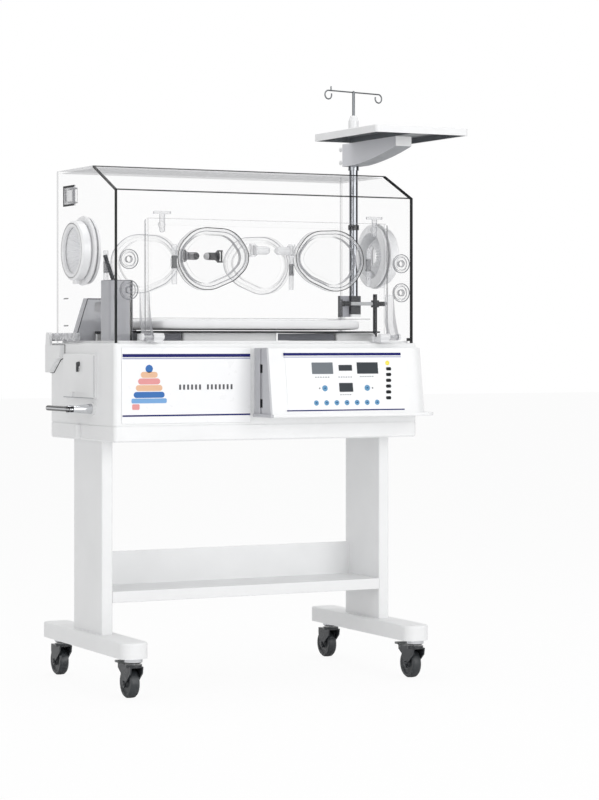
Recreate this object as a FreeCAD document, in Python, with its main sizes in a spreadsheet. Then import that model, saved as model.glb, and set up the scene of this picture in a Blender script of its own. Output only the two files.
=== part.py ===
import FreeCAD, Part
import math
import os
import Sketcher
from FreeCAD import Placement, Rotation, Vector

# An infant incubator on a wheeled stand, in millimetres, +Z up and +X to the right of
# someone who faces its controls, which look along -Y. Every piece is drawn about the
# middle of the cabinet at floor level, and is then moved by frame_x and frame_y, so that
# the origin is the middle of the whole outline on the floor.

DIMENSIONS = [
    ("frame_x", -69.0, "from the cabinet's middle to the origin, across"),
    ("frame_y", 16.0, "from the cabinet's middle to the origin, front to back"),
    ("cabinet_width", 865.0, "housing, left to right"),
    ("cabinet_depth", 430.0, "housing, front to back"),
    ("cabinet_bottom", 630.0, "underside of the base tray"),
    ("cabinet_seam", 669.0, "seam between the base tray and the housing"),
    ("cabinet_top", 877.0, "top face that the hood stands on"),
    ("cabinet_wall", 4.0, "moulded wall of the housing"),
    ("sheet_metal", 3.0, "wall of the tray, the columns and the feet"),
    ("column_x", 400.0, "middle of a column from the cabinet's middle"),
    ("column_thickness", 30.0, "column, across"),
    ("column_depth", 190.0, "column, front to back"),
    ("foot_width", 74.0, "foot, across"),
    ("foot_bottom", 100.0, "underside of a foot"),
    ("foot_top", 140.0, "top of a foot, where the column stands"),
    ("foot_front", -285.0, "front end of a foot"),
    ("foot_rear", 262.0, "rear end of a foot"),
    ("shelf_top", 248.0, "storage shelf, upper face"),
    ("shelf_lip", 28.5, "front lip of the shelf"),
    ("shelf_back", 87.0, "height of the shelf's back panel"),
    ("shelf_back_y", 76.0, "where the shelf's back panel stands"),
    ("shelf_sheet", 2.5, "thickness of the shelf"),
    ("wheel_diameter", 75.0, "caster wheel"),
    ("wheel_width", 25.0, "caster wheel, across its tread"),
    ("caster_trail", 24.0, "wheel axle behind the swivel axis"),
    ("caster_front", -262.0, "swivel axis of the front casters"),
    ("caster_rear", 208.0, "swivel axis of the rear casters"),
    ("stem_diameter", 12.0, "caster stem in the foot"),
    ("axle_diameter", 8.0, "caster axle"),
    ("fit_gap", 0.06, "radial clearance of pins and shafts"),
    ("hood_half", 425.0, "hood, from the middle to a side wall's face"),
    ("hood_front", -206.0, "front wall of the hood"),
    ("hood_rear", 189.0, "rear wall of the hood"),
    ("hood_shoulder", 1259.5, "top of the hood's front wall"),
    ("hood_roof", 1327.4, "flat roof of the hood"),
    ("hood_roof_front", -59.0, "front edge of the flat roof"),
    ("acrylic", 6.0, "hood wall"),
    ("hinge_y", 196.0, "hood hinge axis"),
    ("hinge_z", 893.0, "height of the hood and front panel hinge axes"),
    ("hinge_pin", 8.0, "hood and panel hinge pins"),
    ("panel_half", 346.5, "front panel, from the middle to a side edge"),
    ("panel_bottom", 897.0, "front panel, lower edge"),
    ("panel_top", 1190.0, "front panel, upper edge"),
    ("panel_thickness", 5.0, "front panel"),
    ("panel_gap", 0.5, "between the front panel and the hood"),
    ("panel_hinge_y", -235.0, "front panel hinge axis"),
    ("port_x", 166.5, "middle of a hand port from the middle of the hood"),
    ("port_z", 1089.0, "middle height of the hand ports"),
    ("port_hinge_x", 60.5, "hinge pin of a hand port door"),
    ("iris_z", 1113.0, "middle height of the end wall ports"),
    ("iris_bore", 68.0, "radius of the end wall port's tube"),
    ("grommet_x", 389.0, "tube grommets, from the middle"),
    ("deck_bottom", 904.0, "underside of the bed deck"),
    ("deck_left", -340.0, "left end of the bed deck"),
    ("deck_right", 345.0, "right end of the bed deck"),
    ("bed_pivot_x", -331.0, "pivot of the tilting bed"),
    ("bed_pivot_z", 896.0, "height of that pivot"),
    ("bed_left", -300.0, "left wall of the bed tray"),
    ("bed_right", 318.0, "right wall of the bed tray"),
    ("bed_front", -176.0, "front wall of the bed tray"),
    ("bed_rear", 138.0, "rear wall of the bed tray"),
    ("mattress_thickness", 25.0, "foam mattress"),
    ("controller_left", -46.0, "left face of the controller"),
    ("controller_right", 416.0, "right face of the controller"),
    ("controller_top", 865.0, "top of the controller"),
    ("controller_bottom", 697.0, "bottom of the controller above its lip"),
    ("controller_top_y", -285.0, "upper edge of the sloping face"),
    ("controller_bottom_y", -310.0, "lower edge of the sloping face"),
    ("lever_y", -80.0, "shaft of the tilt lever"),
    ("lever_z", 711.0, "height of that shaft"),
    ("pole_x", 495.0, "accessory pole, from the middle"),
    ("pole_y", 250.0, "accessory pole, behind the middle"),
    ("pole_diameter", 25.0, "accessory pole"),
    ("pole_foot", 951.0, "underside of the pole's clamp block"),
    ("pole_top", 1500.0, "upper end of the pole tube"),
    ("tray_bottom", 1439.0, "underside of the monitor tray"),
    ("tray_thickness", 20.0, "monitor tray"),
    ("tray_left", 353.0, "left edge of the monitor tray"),
    ("tray_right", 641.0, "right edge of the monitor tray"),
    ("tray_front", -135.0, "front edge of the monitor tray"),
    ("tray_rear", 221.0, "rear edge of the monitor tray"),
    ("hook_height", 1585.0, "hook bar"),
    ("hook_span", 210.0, "hook bar, end to end"),
]

doc = FreeCAD.newDocument("infant_incubator")
sheet = doc.addObject("Spreadsheet::Sheet", "Dims")


class Size:
    """A length or angle that keeps its formula in the sheet beside its number."""

    def __init__(self, number, text):
        self.number = float(number)
        self.text = text

    def __float__(self):
        return self.number

    def __add__(self, other):
        other = as_size(other)
        return Size(self.number + other.number, f"({self.text} + {other.text})")

    def __radd__(self, other):
        return as_size(other) + self

    def __sub__(self, other):
        other = as_size(other)
        return Size(self.number - other.number, f"({self.text} - {other.text})")

    def __rsub__(self, other):
        return as_size(other) - self

    def __mul__(self, other):
        other = as_size(other)
        return Size(self.number * other.number, f"({self.text} * {other.text})")

    def __rmul__(self, other):
        return as_size(other) * self

    def __truediv__(self, other):
        other = as_size(other)
        return Size(self.number / other.number, f"({self.text} / {other.text})")

    def __neg__(self):
        return Size(-self.number, f"(-1 * {self.text})")


def as_size(value):
    """A plain number as a Size, so that both take part in one formula."""
    if isinstance(value, Size):
        return value
    return Size(value, f"({float(value):.6f})")


class Dimensions:
    """The sheet's rows by their alias."""

    def __init__(self, rows):
        for row, (alias, value, note) in enumerate(rows, start=1):
            sheet.set(f"A{row}", alias)
            sheet.set(f"B{row}", str(value))
            sheet.set(f"C{row}", note)
            sheet.setAlias(f"B{row}", alias)
            setattr(self, alias, Size(value, f"Dims.{alias}"))


dim = Dimensions(DIMENSIONS)
doc.recompute()
nodes = {}
names_taken = {}


def unique(name):
    """A name for an inner feature that no other feature has."""
    names_taken[name] = names_taken.get(name, 0) + 1
    return f"{name}_{names_taken[name]}"


def bind(obj, prop, size):
    obj.setExpression(prop, as_size(size).text)


def keep(obj, label, x=0.0, y=0.0, z=0.0):
    """Make an object a sub-part: its label names its file, its place is from the sheet."""
    obj.Label = label
    obj.Placement = Placement(Vector(float(as_size(x)), float(as_size(y)), float(as_size(z))),
                              Rotation())
    bind(obj, "Placement.Base.x", dim.frame_x + x)
    bind(obj, "Placement.Base.y", dim.frame_y + y)
    bind(obj, "Placement.Base.z", z)
    nodes[label] = obj
    return obj


# Sketches and features of a body


def new_body(name):
    return doc.addObject("PartDesign::Body", unique(name))


def sketch_on(body, role, offset):
    """An empty sketch on one of the body's origin planes, moved along its normal."""
    sketch = body.newObject("Sketcher::SketchObject", unique("sketch"))
    plane = [item for item in body.Origin.OriginFeatures if item.Role == role][0]
    sketch.AttachmentSupport = [(plane, "")]
    sketch.MapMode = "FlatFace"
    bind(sketch, "AttachmentOffset.Base.z", offset)
    return sketch


def constrain(sketch, kind, values, size):
    """Add one dimension and tie it to the sheet."""
    index = sketch.addConstraint(Sketcher.Constraint(kind, *values, float(as_size(size))))
    sketch.renameConstraint(index, f"{kind.lower()}{index}")
    sketch.setExpression(f"Constraints.{kind.lower()}{index}", as_size(size).text)


def draw_polygon(sketch, points):
    """A closed outline of straight lines, each corner dimensioned from the origin."""
    first = sketch.GeometryCount
    corners = [Vector(float(as_size(x)), float(as_size(y)), 0) for x, y in points]
    count = len(corners)
    for index in range(count):
        sketch.addGeometry(Part.LineSegment(corners[index], corners[(index + 1) % count]))
    for index in range(count):
        here, after = first + index, first + (index + 1) % count
        sketch.addConstraint(Sketcher.Constraint("Coincident", here, 2, after, 1))
    for index, (x, y) in enumerate(points):
        constrain(sketch, "DistanceX", (-1, 1, first + index, 1), x)
        constrain(sketch, "DistanceY", (-1, 1, first + index, 1), y)


def draw_circle(sketch, x, y, radius):
    centre = Vector(float(as_size(x)), float(as_size(y)), 0)
    index = sketch.addGeometry(Part.Circle(centre, Vector(0, 0, 1), float(as_size(radius))))
    constrain(sketch, "DistanceX", (-1, 1, index, 3), x)
    constrain(sketch, "DistanceY", (-1, 1, index, 3), y)
    sketch.addConstraint(Sketcher.Constraint("Radius", index, float(as_size(radius))))
    sketch.setExpression(f"Constraints[{sketch.ConstraintCount - 1}]", as_size(radius).text)


def rectangle(x0, x1, y0, y1):
    return [(x0, y0), (x1, y0), (x1, y1), (x0, y1)]


def extrude(body, sketch, length, cutting=False):
    """Add or remove material from the sketch along its plane's normal."""
    kind = "PartDesign::Pocket" if cutting else "PartDesign::Pad"
    feature = body.newObject(kind, unique("cut" if cutting else "pad"))
    feature.Profile = sketch
    feature.Reversed = cutting
    bind(feature, "Length", length)
    return feature


def prism(body, role, points, start, length, cutting=False):
    """A straight block over a polygon, or a cut of that shape."""
    sketch = sketch_on(body, role, start)
    draw_polygon(sketch, points)
    return extrude(body, sketch, length, cutting)


def discs(body, role, circles, start, length, cutting=False):
    """Round bosses or round holes: each circle is x, y and radius in the plane."""
    sketch = sketch_on(body, role, start)
    for x, y, radius in circles:
        draw_circle(sketch, x, y, radius)
    return extrude(body, sketch, length, cutting)


def turned(body, role, points, axis):
    """A turned form from a half section in the plane."""
    sketch = sketch_on(body, role, 0)
    draw_polygon(sketch, points)
    feature = body.newObject("PartDesign::Revolution", unique("turn"))
    feature.Profile = sketch
    feature.ReferenceAxis = (sketch, [axis])
    feature.Angle = 360
    return feature


def edge_names(feature, test):
    """The edges of a feature whose middle point and direction pass a test."""
    doc.recompute()
    found = []
    for index, edge in enumerate(feature.Shape.Edges, start=1):
        middle = edge.valueAt((edge.FirstParameter + edge.LastParameter) / 2)
        direction = edge.tangentAt((edge.FirstParameter + edge.LastParameter) / 2)
        if test(middle, direction):
            found.append(f"Edge{index}")
    return found


def rounded(body, feature, radius, test):
    """Round the edges that pass the test."""
    fillet = body.newObject("PartDesign::Fillet", unique("round"))
    fillet.Base = (feature, edge_names(feature, test))
    bind(fillet, "Radius", radius)
    return fillet


def bevelled(body, feature, size, test):
    chamfer = body.newObject("PartDesign::Chamfer", unique("bevel"))
    chamfer.Base = (feature, edge_names(feature, test))
    bind(chamfer, "Size", size)
    return chamfer


def upright(middle, direction):
    return abs(direction.z) > 0.99


# Primitives


def block(x, y, z):
    """A box between two limits on each axis."""
    box = doc.addObject("Part::Box", unique("block"))
    for prop, limits, axis in (("Length", x, "x"), ("Width", y, "y"), ("Height", z, "z")):
        bind(box, prop, limits[1] - as_size(limits[0]))
        bind(box, f"Placement.Base.{axis}", limits[0])
    return box


TURN = {"x": Rotation(Vector(0, 1, 0), 90), "y": Rotation(Vector(1, 0, 0), -90), "z": Rotation()}


def rod(axis, x, y, z, radius, length):
    """A cylinder that starts at a point and runs along an axis."""
    cylinder = doc.addObject("Part::Cylinder", unique("rod"))
    cylinder.Placement = Placement(Vector(), TURN[axis])
    bind(cylinder, "Radius", radius)
    bind(cylinder, "Height", length)
    for name, value in (("x", x), ("y", y), ("z", z)):
        bind(cylinder, f"Placement.Base.{name}", value)
    return cylinder


def taper(axis, x, y, z, start_radius, end_radius, length):
    """A cone that starts at a point and runs along an axis."""
    cone = doc.addObject("Part::Cone", unique("taper"))
    cone.Placement = Placement(Vector(), TURN[axis])
    bind(cone, "Radius1", start_radius)
    bind(cone, "Radius2", end_radius)
    bind(cone, "Height", length)
    for name, value in (("x", x), ("y", y), ("z", z)):
        bind(cone, f"Placement.Base.{name}", value)
    return cone


def joined(*pieces):
    fuse = doc.addObject("Part::MultiFuse", unique("joined"))
    fuse.Shapes = list(pieces)
    fuse.Refine = True
    return fuse


def without(base, *tools):
    """A piece with other pieces taken out of it."""
    cut = doc.addObject("Part::Cut", unique("without"))
    cut.Base = base
    cut.Tool = tools[0] if len(tools) == 1 else joined(*tools)
    cut.Refine = True
    return cut


def together(*pieces):
    """Separate solids that share one node."""
    group = doc.addObject("Part::Compound", unique("together"))
    group.Links = list(pieces)
    return group


def fixed_shape(name, shape):
    """A form that is built from curves, as one object of the document."""
    feature = doc.addObject("Part::Feature", unique(name))
    if not shape.Placement.isIdentity():
        shape = Part.makeCompound([shape])
    feature.Shape = shape
    return feature


# The stand


def side_frame(side, label):
    """A welded side: a box foot with two caster bosses in it, and a box column on it."""
    middle = side * dim.column_x
    half_foot = dim.foot_width / 2
    wall = dim.sheet_metal
    nose_radius = 28.0
    heel_radius = 14.0
    crown_radius = 5.0
    boss_radius = 20.0
    body = new_body(label)
    foot = prism(body, "XY_Plane", rectangle(middle - half_foot, middle + half_foot,
                                             dim.foot_front, dim.foot_rear),
                 dim.foot_bottom, dim.foot_top - dim.foot_bottom)
    foot = rounded(body, foot, nose_radius,
                   lambda at, way: upright(at, way) and at.y < -200)
    foot = rounded(body, foot, heel_radius,
                   lambda at, way: upright(at, way) and at.y > 200)
    foot = rounded(body, foot, crown_radius,
                   lambda at, way: at.z > float(dim.foot_top) - 0.1)
    inside = half_foot - wall
    prism(body, "XY_Plane", rectangle(middle - inside, middle + inside,
                                      dim.foot_front + nose_radius, dim.foot_rear - heel_radius),
          dim.foot_bottom + wall, dim.foot_top - dim.foot_bottom - 2 * wall, cutting=True)
    stems = [(middle, dim.caster_front, boss_radius), (middle, dim.caster_rear, boss_radius)]
    discs(body, "XY_Plane", stems, dim.foot_bottom, dim.foot_top - dim.foot_bottom - wall / 2)
    bores = [(middle, y, dim.stem_diameter / 2 + dim.fit_gap) for x, y, r in stems]
    discs(body, "XY_Plane", bores, dim.foot_bottom, 30.0, cutting=True)
    half_column = dim.column_thickness / 2
    half_depth = dim.column_depth / 2
    column = prism(body, "XY_Plane", rectangle(middle - half_column, middle + half_column,
                                               -half_depth, half_depth),
                   dim.foot_top, dim.cabinet_bottom - dim.foot_top)
    rounded(body, column, 4.0,
            lambda at, way: upright(at, way) and float(dim.foot_top) + 5 < at.z)
    prism(body, "XY_Plane", rectangle(middle - half_column + wall, middle + half_column - wall,
                                      -half_depth + wall, half_depth - wall),
          dim.foot_top + wall, dim.cabinet_bottom - dim.foot_top - wall, cutting=True)
    return keep(body, label)


def storage_shelf():
    """Folded sheet between the columns: a front lip, the shelf and a raised back."""
    sheet_thickness = dim.shelf_sheet
    front = -dim.column_depth / 2
    back = dim.shelf_back_y
    top = dim.shelf_top
    under = top - sheet_thickness
    hem = 14.0
    section = [
        (front, top - dim.shelf_lip),
        (front + hem, top - dim.shelf_lip),
        (front + hem, top - dim.shelf_lip + sheet_thickness),
        (front + sheet_thickness, top - dim.shelf_lip + sheet_thickness),
        (front + sheet_thickness, under),
        (back, under),
        (back, top + dim.shelf_back),
        (back - sheet_thickness, top + dim.shelf_back),
        (back - sheet_thickness, top),
        (front, top),
    ]
    half = dim.column_x - dim.column_thickness / 2
    body = new_body("storage_shelf")
    fold = prism(body, "YZ_Plane", section, -half, 2 * half)
    rounded(body, fold, 1.5,
            lambda at, way: abs(way.x) > 0.99 and at.y < float(front) + 0.1)
    return keep(body, "storage_shelf")


# The casters, each drawn about its swivel axis at floor level


HEAD_RADIUS = 21.0
FORK_TOP = 86.0
PLATE_BOTTOM = 92.0
CHEEK_GAP = 1.6
CHEEK = 3.5
PEDAL_Y = 53.0
PEDAL_Z = 79.0


def caster_plate(x, y):
    """The fixed head: a dished plate under the foot, its stem, and the kingpin below."""
    plate = rod("z", x, y, PLATE_BOTTOM, 22.5, dim.foot_bottom - PLATE_BOTTOM)
    skirt = taper("z", x, y, PLATE_BOTTOM - 2.5, 19.0, 22.0, 2.5)
    stem = rod("z", x, y, dim.foot_bottom, dim.stem_diameter / 2, 28.0)
    kingpin = rod("z", x, y, FORK_TOP - 6.0, 5.0, PLATE_BOTTOM - FORK_TOP + 8.0)
    return joined(plate, skirt, stem, kingpin)


def caster_plates():
    plates = []
    for side in (-1, 1):
        for y in (dim.caster_front, dim.caster_rear):
            plates.append(caster_plate(side * dim.column_x, y))
    return keep(together(*plates), "caster_plates")


def caster_fork(label, x, y, braked):
    """Two cheeks under a round head, with the axle bolt as a separate solid."""
    half_inside = dim.wheel_width / 2 + CHEEK_GAP
    half_outside = half_inside + CHEEK
    axle_z = dim.wheel_diameter / 2
    trail = dim.caster_trail
    cheek_radius = 11.0
    body = new_body(label)
    side_view = [
        (-HEAD_RADIUS, FORK_TOP - 5.0),
        (-HEAD_RADIUS + 3.0, 64.0),
        (trail - cheek_radius, axle_z),
        (trail - 4.0, axle_z - cheek_radius),
        (trail + 4.0, axle_z - cheek_radius),
        (trail + cheek_radius, axle_z),
        (trail + 17.0, 64.0),
        (trail + 17.0, FORK_TOP - 5.0),
    ]
    if braked:
        side_view[-2:] = [
            (trail + 17.0, 62.0),
            (PEDAL_Y + 5.0, PEDAL_Z - 6.0),
            (PEDAL_Y + 5.0, PEDAL_Z + 5.0),
            (trail + 14.0, FORK_TOP - 2.0),
        ]
    cheeks = prism(body, "YZ_Plane", side_view, -half_outside, 2 * half_outside)
    rounded(body, cheeks, 3.0,
            lambda at, way: abs(way.x) > 0.99 and at.z < 60.0)
    crown_bottom = FORK_TOP - 7.5
    slot = rectangle(-60.0, 90.0, -5.0, crown_bottom)
    prism(body, "YZ_Plane", slot, -half_inside, 2 * half_inside, cutting=True)
    discs(body, "XY_Plane", [(0, 0, HEAD_RADIUS)], crown_bottom, FORK_TOP - crown_bottom)
    rear_of_crown = trail + 17.0
    if braked:
        prism(body, "YZ_Plane", rectangle(rear_of_crown, 90.0, 60.0, FORK_TOP + 1.0),
              -half_inside, 2 * half_inside, cutting=True)
    kingpin_hole = [(0, 0, 5.0 + dim.fit_gap)]
    discs(body, "XY_Plane", kingpin_hole, crown_bottom - 1.0, 12.0, cutting=True)
    discs(body, "YZ_Plane", [(trail, axle_z, dim.axle_diameter / 2 + dim.fit_gap)],
          -half_outside - 1.0, 2 * half_outside + 2.0, cutting=True)
    if braked:
        discs(body, "YZ_Plane", [(PEDAL_Y, PEDAL_Z, 2.5 + dim.fit_gap)],
              -half_outside - 1.0, 2 * half_outside + 2.0, cutting=True)
    axle = joined(rod("x", -half_outside - 1.0, trail, axle_z, dim.axle_diameter / 2,
                      2 * half_outside + 2.0),
                  taper("x", half_outside, trail, axle_z, 6.5, 5.5, 3.0),
                  taper("x", -half_outside - 3.0, trail, axle_z, 5.5, 6.5, 3.0))
    return keep(together(body, axle), label, x, y)


def caster_wheel(label, x, y):
    """A solid tyre on a dished hub, turned about the axle."""
    radius = dim.wheel_diameter / 2
    half = dim.wheel_width / 2
    hub_half = half + 1.2
    bore = dim.axle_diameter / 2 + dim.fit_gap
    crown = 4.0
    section = [
        (-hub_half, bore),
        (-hub_half, bore + 6.0),
        (-half + 3.5, bore + 8.0),
        (-half + 3.5, radius - 12.0),
        (-half, radius - 9.5),
        (-half, radius - crown),
        (-half + crown, radius - 0.6),
        (0, radius),
        (half - crown, radius - 0.6),
        (half, radius - crown),
        (half, radius - 9.5),
        (half - 3.5, radius - 12.0),
        (half - 3.5, bore + 8.0),
        (hub_half, bore + 6.0),
        (hub_half, bore),
    ]
    body = new_body(label)
    turned(body, "XY_Plane", section, "H_Axis")
    return keep(body, label, x, y + dim.caster_trail, radius)


def caster_brake(label, x, y):
    """A foot pedal on a cross pin, with a shoe above the tyre."""
    half = dim.wheel_width / 2 + CHEEK_GAP - 0.5
    body = new_body(label)
    side_view = [
        (PEDAL_Y - 6.0, PEDAL_Z - 3.0),
        (PEDAL_Y - 3.5, PEDAL_Z - 12.0),
        (PEDAL_Y + 1.5, PEDAL_Z - 12.0),
        (PEDAL_Y + 4.0, PEDAL_Z - 4.0),
        (PEDAL_Y + 9.0, PEDAL_Z + 1.5),
        (PEDAL_Y + 26.0, PEDAL_Z + 5.5),
        (PEDAL_Y + 25.0, PEDAL_Z + 9.5),
        (PEDAL_Y + 5.0, PEDAL_Z + 7.0),
        (PEDAL_Y - 5.0, PEDAL_Z + 4.0),
    ]
    lever = prism(body, "YZ_Plane", side_view, -half, 2 * half)
    rounded(body, lever, 1.5, lambda at, way: abs(way.x) > 0.99 and at.y > PEDAL_Y + 15.0)
    tread_half = 18.0
    tread = rectangle(-tread_half, tread_half, PEDAL_Y + 11.0, PEDAL_Y + 27.0)
    pad = prism(body, "XY_Plane", tread, PEDAL_Z + 4.5, 5.0)
    rounded(body, pad, 4.0,
            lambda at, way: upright(at, way) and abs(at.x) > tread_half - 0.1)
    pin = rod("x", -half - CHEEK, PEDAL_Y, PEDAL_Z, 2.5, 2 * (half + CHEEK))
    return keep(joined(body, pin), label, x, y)


side_frame(-1, "side_frame_left")
side_frame(1, "side_frame_right")
storage_shelf()
caster_plates()
CASTERS = [
    ("fl", -1, dim.caster_front, True),
    ("fr", 1, dim.caster_front, True),
    ("rl", -1, dim.caster_rear, False),
    ("rr", 1, dim.caster_rear, False),
]
for corner, side, swivel_y, braked in CASTERS:
    swivel_x = side * dim.column_x
    caster_fork(f"caster_fork_{corner}", swivel_x, swivel_y, braked)
    caster_wheel(f"caster_wheel_{corner}", swivel_x, swivel_y)
    if braked:
        caster_brake(f"caster_brake_{corner}", swivel_x, swivel_y)


# The cabinet


def base_tray():
    """An open tray that closes the cabinet from below, with a drain spout on its left."""
    half_x = dim.cabinet_width / 2
    half_y = dim.cabinet_depth / 2
    wall = dim.sheet_metal
    corner_radius = 10.0
    body = new_body("base_tray")
    tray = prism(body, "XY_Plane", rectangle(-half_x, half_x, -half_y, half_y),
                 dim.cabinet_bottom, dim.cabinet_seam - dim.cabinet_bottom)
    tray = rounded(body, tray, corner_radius, upright)
    bevelled(body, tray, 4.0, lambda at, way: at.z < float(dim.cabinet_bottom) + 0.1)
    prism(body, "XY_Plane", rectangle(-half_x + wall * 2, half_x - wall * 2,
                                      -half_y + wall * 2, half_y - wall * 2),
          dim.cabinet_bottom + wall, dim.cabinet_seam - dim.cabinet_bottom, cutting=True)
    spout_y = 12.0
    spout_radius = 11.0
    spout = rod("z", -half_x - 2.5, spout_y, dim.cabinet_bottom + 7.0, spout_radius, 32.0)
    throat = taper("z", -half_x - 3.0, spout_y, dim.cabinet_bottom + 3.0, 7.0, 10.0, 4.0)
    trim = block((-half_x + wall, -half_x + 40.0), (-60.0, 60.0),
                 (dim.cabinet_bottom + 1.0, dim.cabinet_seam + 40.0))
    return keep(joined(body, without(joined(spout, throat), trim)), "base_tray")


def cabinet_shell():
    """The moulded housing: a shadow gap over the tray, a well in its top, side openings."""
    half_x = dim.cabinet_width / 2
    half_y = dim.cabinet_depth / 2
    wall = dim.cabinet_wall
    reveal = 2.0
    reveal_height = 2.5
    body = new_body("cabinet_shell")
    start = dim.cabinet_seam + reveal_height
    inset_x = half_x - reveal
    inset_y = half_y - reveal
    skirt = prism(body, "XY_Plane", rectangle(-inset_x, inset_x, -inset_y, inset_y),
                  dim.cabinet_seam, reveal_height + 1.0)
    rounded(body, skirt, 8.0, upright)
    shell = prism(body, "XY_Plane", rectangle(-half_x, half_x, -half_y, half_y),
                  start, dim.cabinet_top - start)
    shell = rounded(body, shell, 10.0,
                    lambda at, way: upright(at, way) and at.z > float(start) + 1)
    rounded(body, shell, 5.0, lambda at, way: at.z > float(dim.cabinet_top) - 0.1)
    prism(body, "XY_Plane", rectangle(-half_x + wall, half_x - wall,
                                      -half_y + wall, half_y - wall),
          dim.cabinet_seam, dim.cabinet_top - dim.cabinet_seam - wall, cutting=True)
    prism(body, "XY_Plane", rectangle(-350.0, 350.0, -140.0, 128.0),
          dim.cabinet_top - 2 * wall, 4 * wall, cutting=True)
    filter_window = rectangle(-92.0, 88.0, 756.0, 838.0)
    prism(body, "YZ_Plane", filter_window, -half_x - 1.0, 3 * wall, cutting=True)
    flange = [(dim.lever_y, dim.lever_z, 17.0)]
    discs(body, "YZ_Plane", flange, -half_x - 6.0, 8.0)
    bush = [(dim.lever_y, dim.lever_z, 10.0)]
    discs(body, "YZ_Plane", bush, -half_x + 1.0, 20.0)
    bore = [(dim.lever_y, dim.lever_z, 6.0 + dim.fit_gap)]
    discs(body, "YZ_Plane", bore, -half_x - 7.0, 40.0, cutting=True)
    fascia_recess = rectangle(-413.0, -55.0, 675.0, 868.0)
    prism(body, "XZ_Plane", fascia_recess, half_y - 1.0, 3.0, cutting=True)
    return keep(body, "cabinet_shell")


def front_fascia():
    """The flush cover plate at the left of the front."""
    body = new_body("front_fascia")
    plate = prism(body, "XZ_Plane", rectangle(-412.0, -56.0, 676.0, 867.0),
                  dim.cabinet_depth / 2 - 1.0, 2.0)
    plate = rounded(body, plate, 4.0, lambda at, way: abs(way.y) > 0.99)
    rounded(body, plate, 0.8,
            lambda at, way: at.y < -float(dim.cabinet_depth) / 2 - 0.9)
    return keep(body, "front_fascia")


def controller_housing():
    """The control module: a sloping face, a round right corner and a lip below it."""
    back = -dim.cabinet_depth / 2
    body = new_body("controller_housing")
    section = [
        (back, dim.controller_bottom),
        (back, dim.controller_top),
        (dim.controller_top_y, dim.controller_top),
        (dim.controller_bottom_y, dim.controller_bottom),
    ]
    width = dim.controller_right - dim.controller_left
    case = prism(body, "YZ_Plane", section, dim.controller_left, width)
    right = float(dim.controller_right)
    case = rounded(body, case, 36.0,
                   lambda at, way: at.x > right - 0.1 and at.y < -290 and abs(way.z) > 0.9)
    rounded(body, case, 3.0,
            lambda at, way: at.z > float(dim.controller_top) - 0.1 and at.y < -216)
    lip = prism(body, "XY_Plane", rectangle(dim.controller_left - 4.0, dim.controller_right + 18.0,
                                            back - 102.0, back),
                dim.controller_bottom - 8.0, 8.0)
    lip = rounded(body, lip, 26.0,
                  lambda at, way: upright(at, way) and at.x > right and at.y < -300)
    rounded(body, lip, 2.5,
            lambda at, way: at.z < float(dim.controller_bottom) - 7.9 and at.y < -216)
    wall = 4.0
    prism(body, "XZ_Plane", rectangle(dim.controller_left + 10.0, dim.controller_right - 40.0,
                                      dim.controller_bottom + wall, dim.controller_top - wall),
          -back, 62.0, cutting=True)
    groove = rectangle(-262.0, -250.0, dim.controller_bottom + 1.0, dim.controller_top - 4.0)
    prism(body, "YZ_Plane", groove, dim.controller_left, 2.5, cutting=True)
    catch_half = 7.0
    for catch_z in (724.0, 812.0):
        catch = rectangle(-256.0 - catch_half, -256.0 + catch_half,
                          catch_z - 11.0, catch_z + 11.0)
        prism(body, "YZ_Plane", catch, dim.controller_left, 7.0, cutting=True)
    return keep(body, "controller_housing")


def controller_membrane():
    """The overlay on the sloping face, with four display windows and its key pads."""
    rise = float(dim.controller_top - dim.controller_bottom)
    run = float(dim.controller_bottom_y - dim.controller_top_y)
    slope = math.degrees(math.atan2(run, rise))
    face_height = math.hypot(rise, run)
    overlay_thickness = 1.2
    window_thickness = 1.6
    overlay = Part.makeBox(352.0, overlay_thickness, face_height - 12.0,
                           Vector(4.0, -overlay_thickness, 6.0))
    overlay = overlay.makeFillet(3.0, [edge for edge in overlay.Edges
                                       if abs(edge.tangentAt(0).y) > 0.99])
    pieces = []
    windows = [(78.0, 102.0, 61.0, 30.0), (155.5, 110.0, 39.0, 15.5),
               (208.5, 102.0, 62.0, 30.0), (153.5, 55.5, 40.0, 23.5)]
    for left, bottom, wide, tall in windows:
        window = Part.makeBox(wide, window_thickness, tall,
                              Vector(left, -overlay_thickness - 0.4, bottom))
        overlay = overlay.cut(window)
        pieces.append(window)
    key_radius = 7.0
    key_height = 0.9
    first_key, key_pitch = 84.6, 29.4
    for index in range(7):
        centre = Vector(first_key + key_pitch * index, -overlay_thickness, 28.0)
        key = Part.makeCylinder(key_radius, key_height, centre, Vector(0, -1, 0))
        overlay = overlay.fuse(key)
    for across in (112.0, 234.8):
        centre = Vector(across, -overlay_thickness, 65.5)
        key = Part.makeCylinder(key_radius + 1.0, key_height, centre, Vector(0, -1, 0))
        overlay = overlay.fuse(key)
    shape = Part.makeCompound([overlay.removeSplitter()] + pieces)
    shape.rotate(Vector(), Vector(1, 0, 0), slope)
    shape.translate(Vector(0, float(dim.controller_bottom_y), float(dim.controller_bottom)))
    return keep(fixed_shape("controller_membrane", shape), "controller_membrane")


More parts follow.
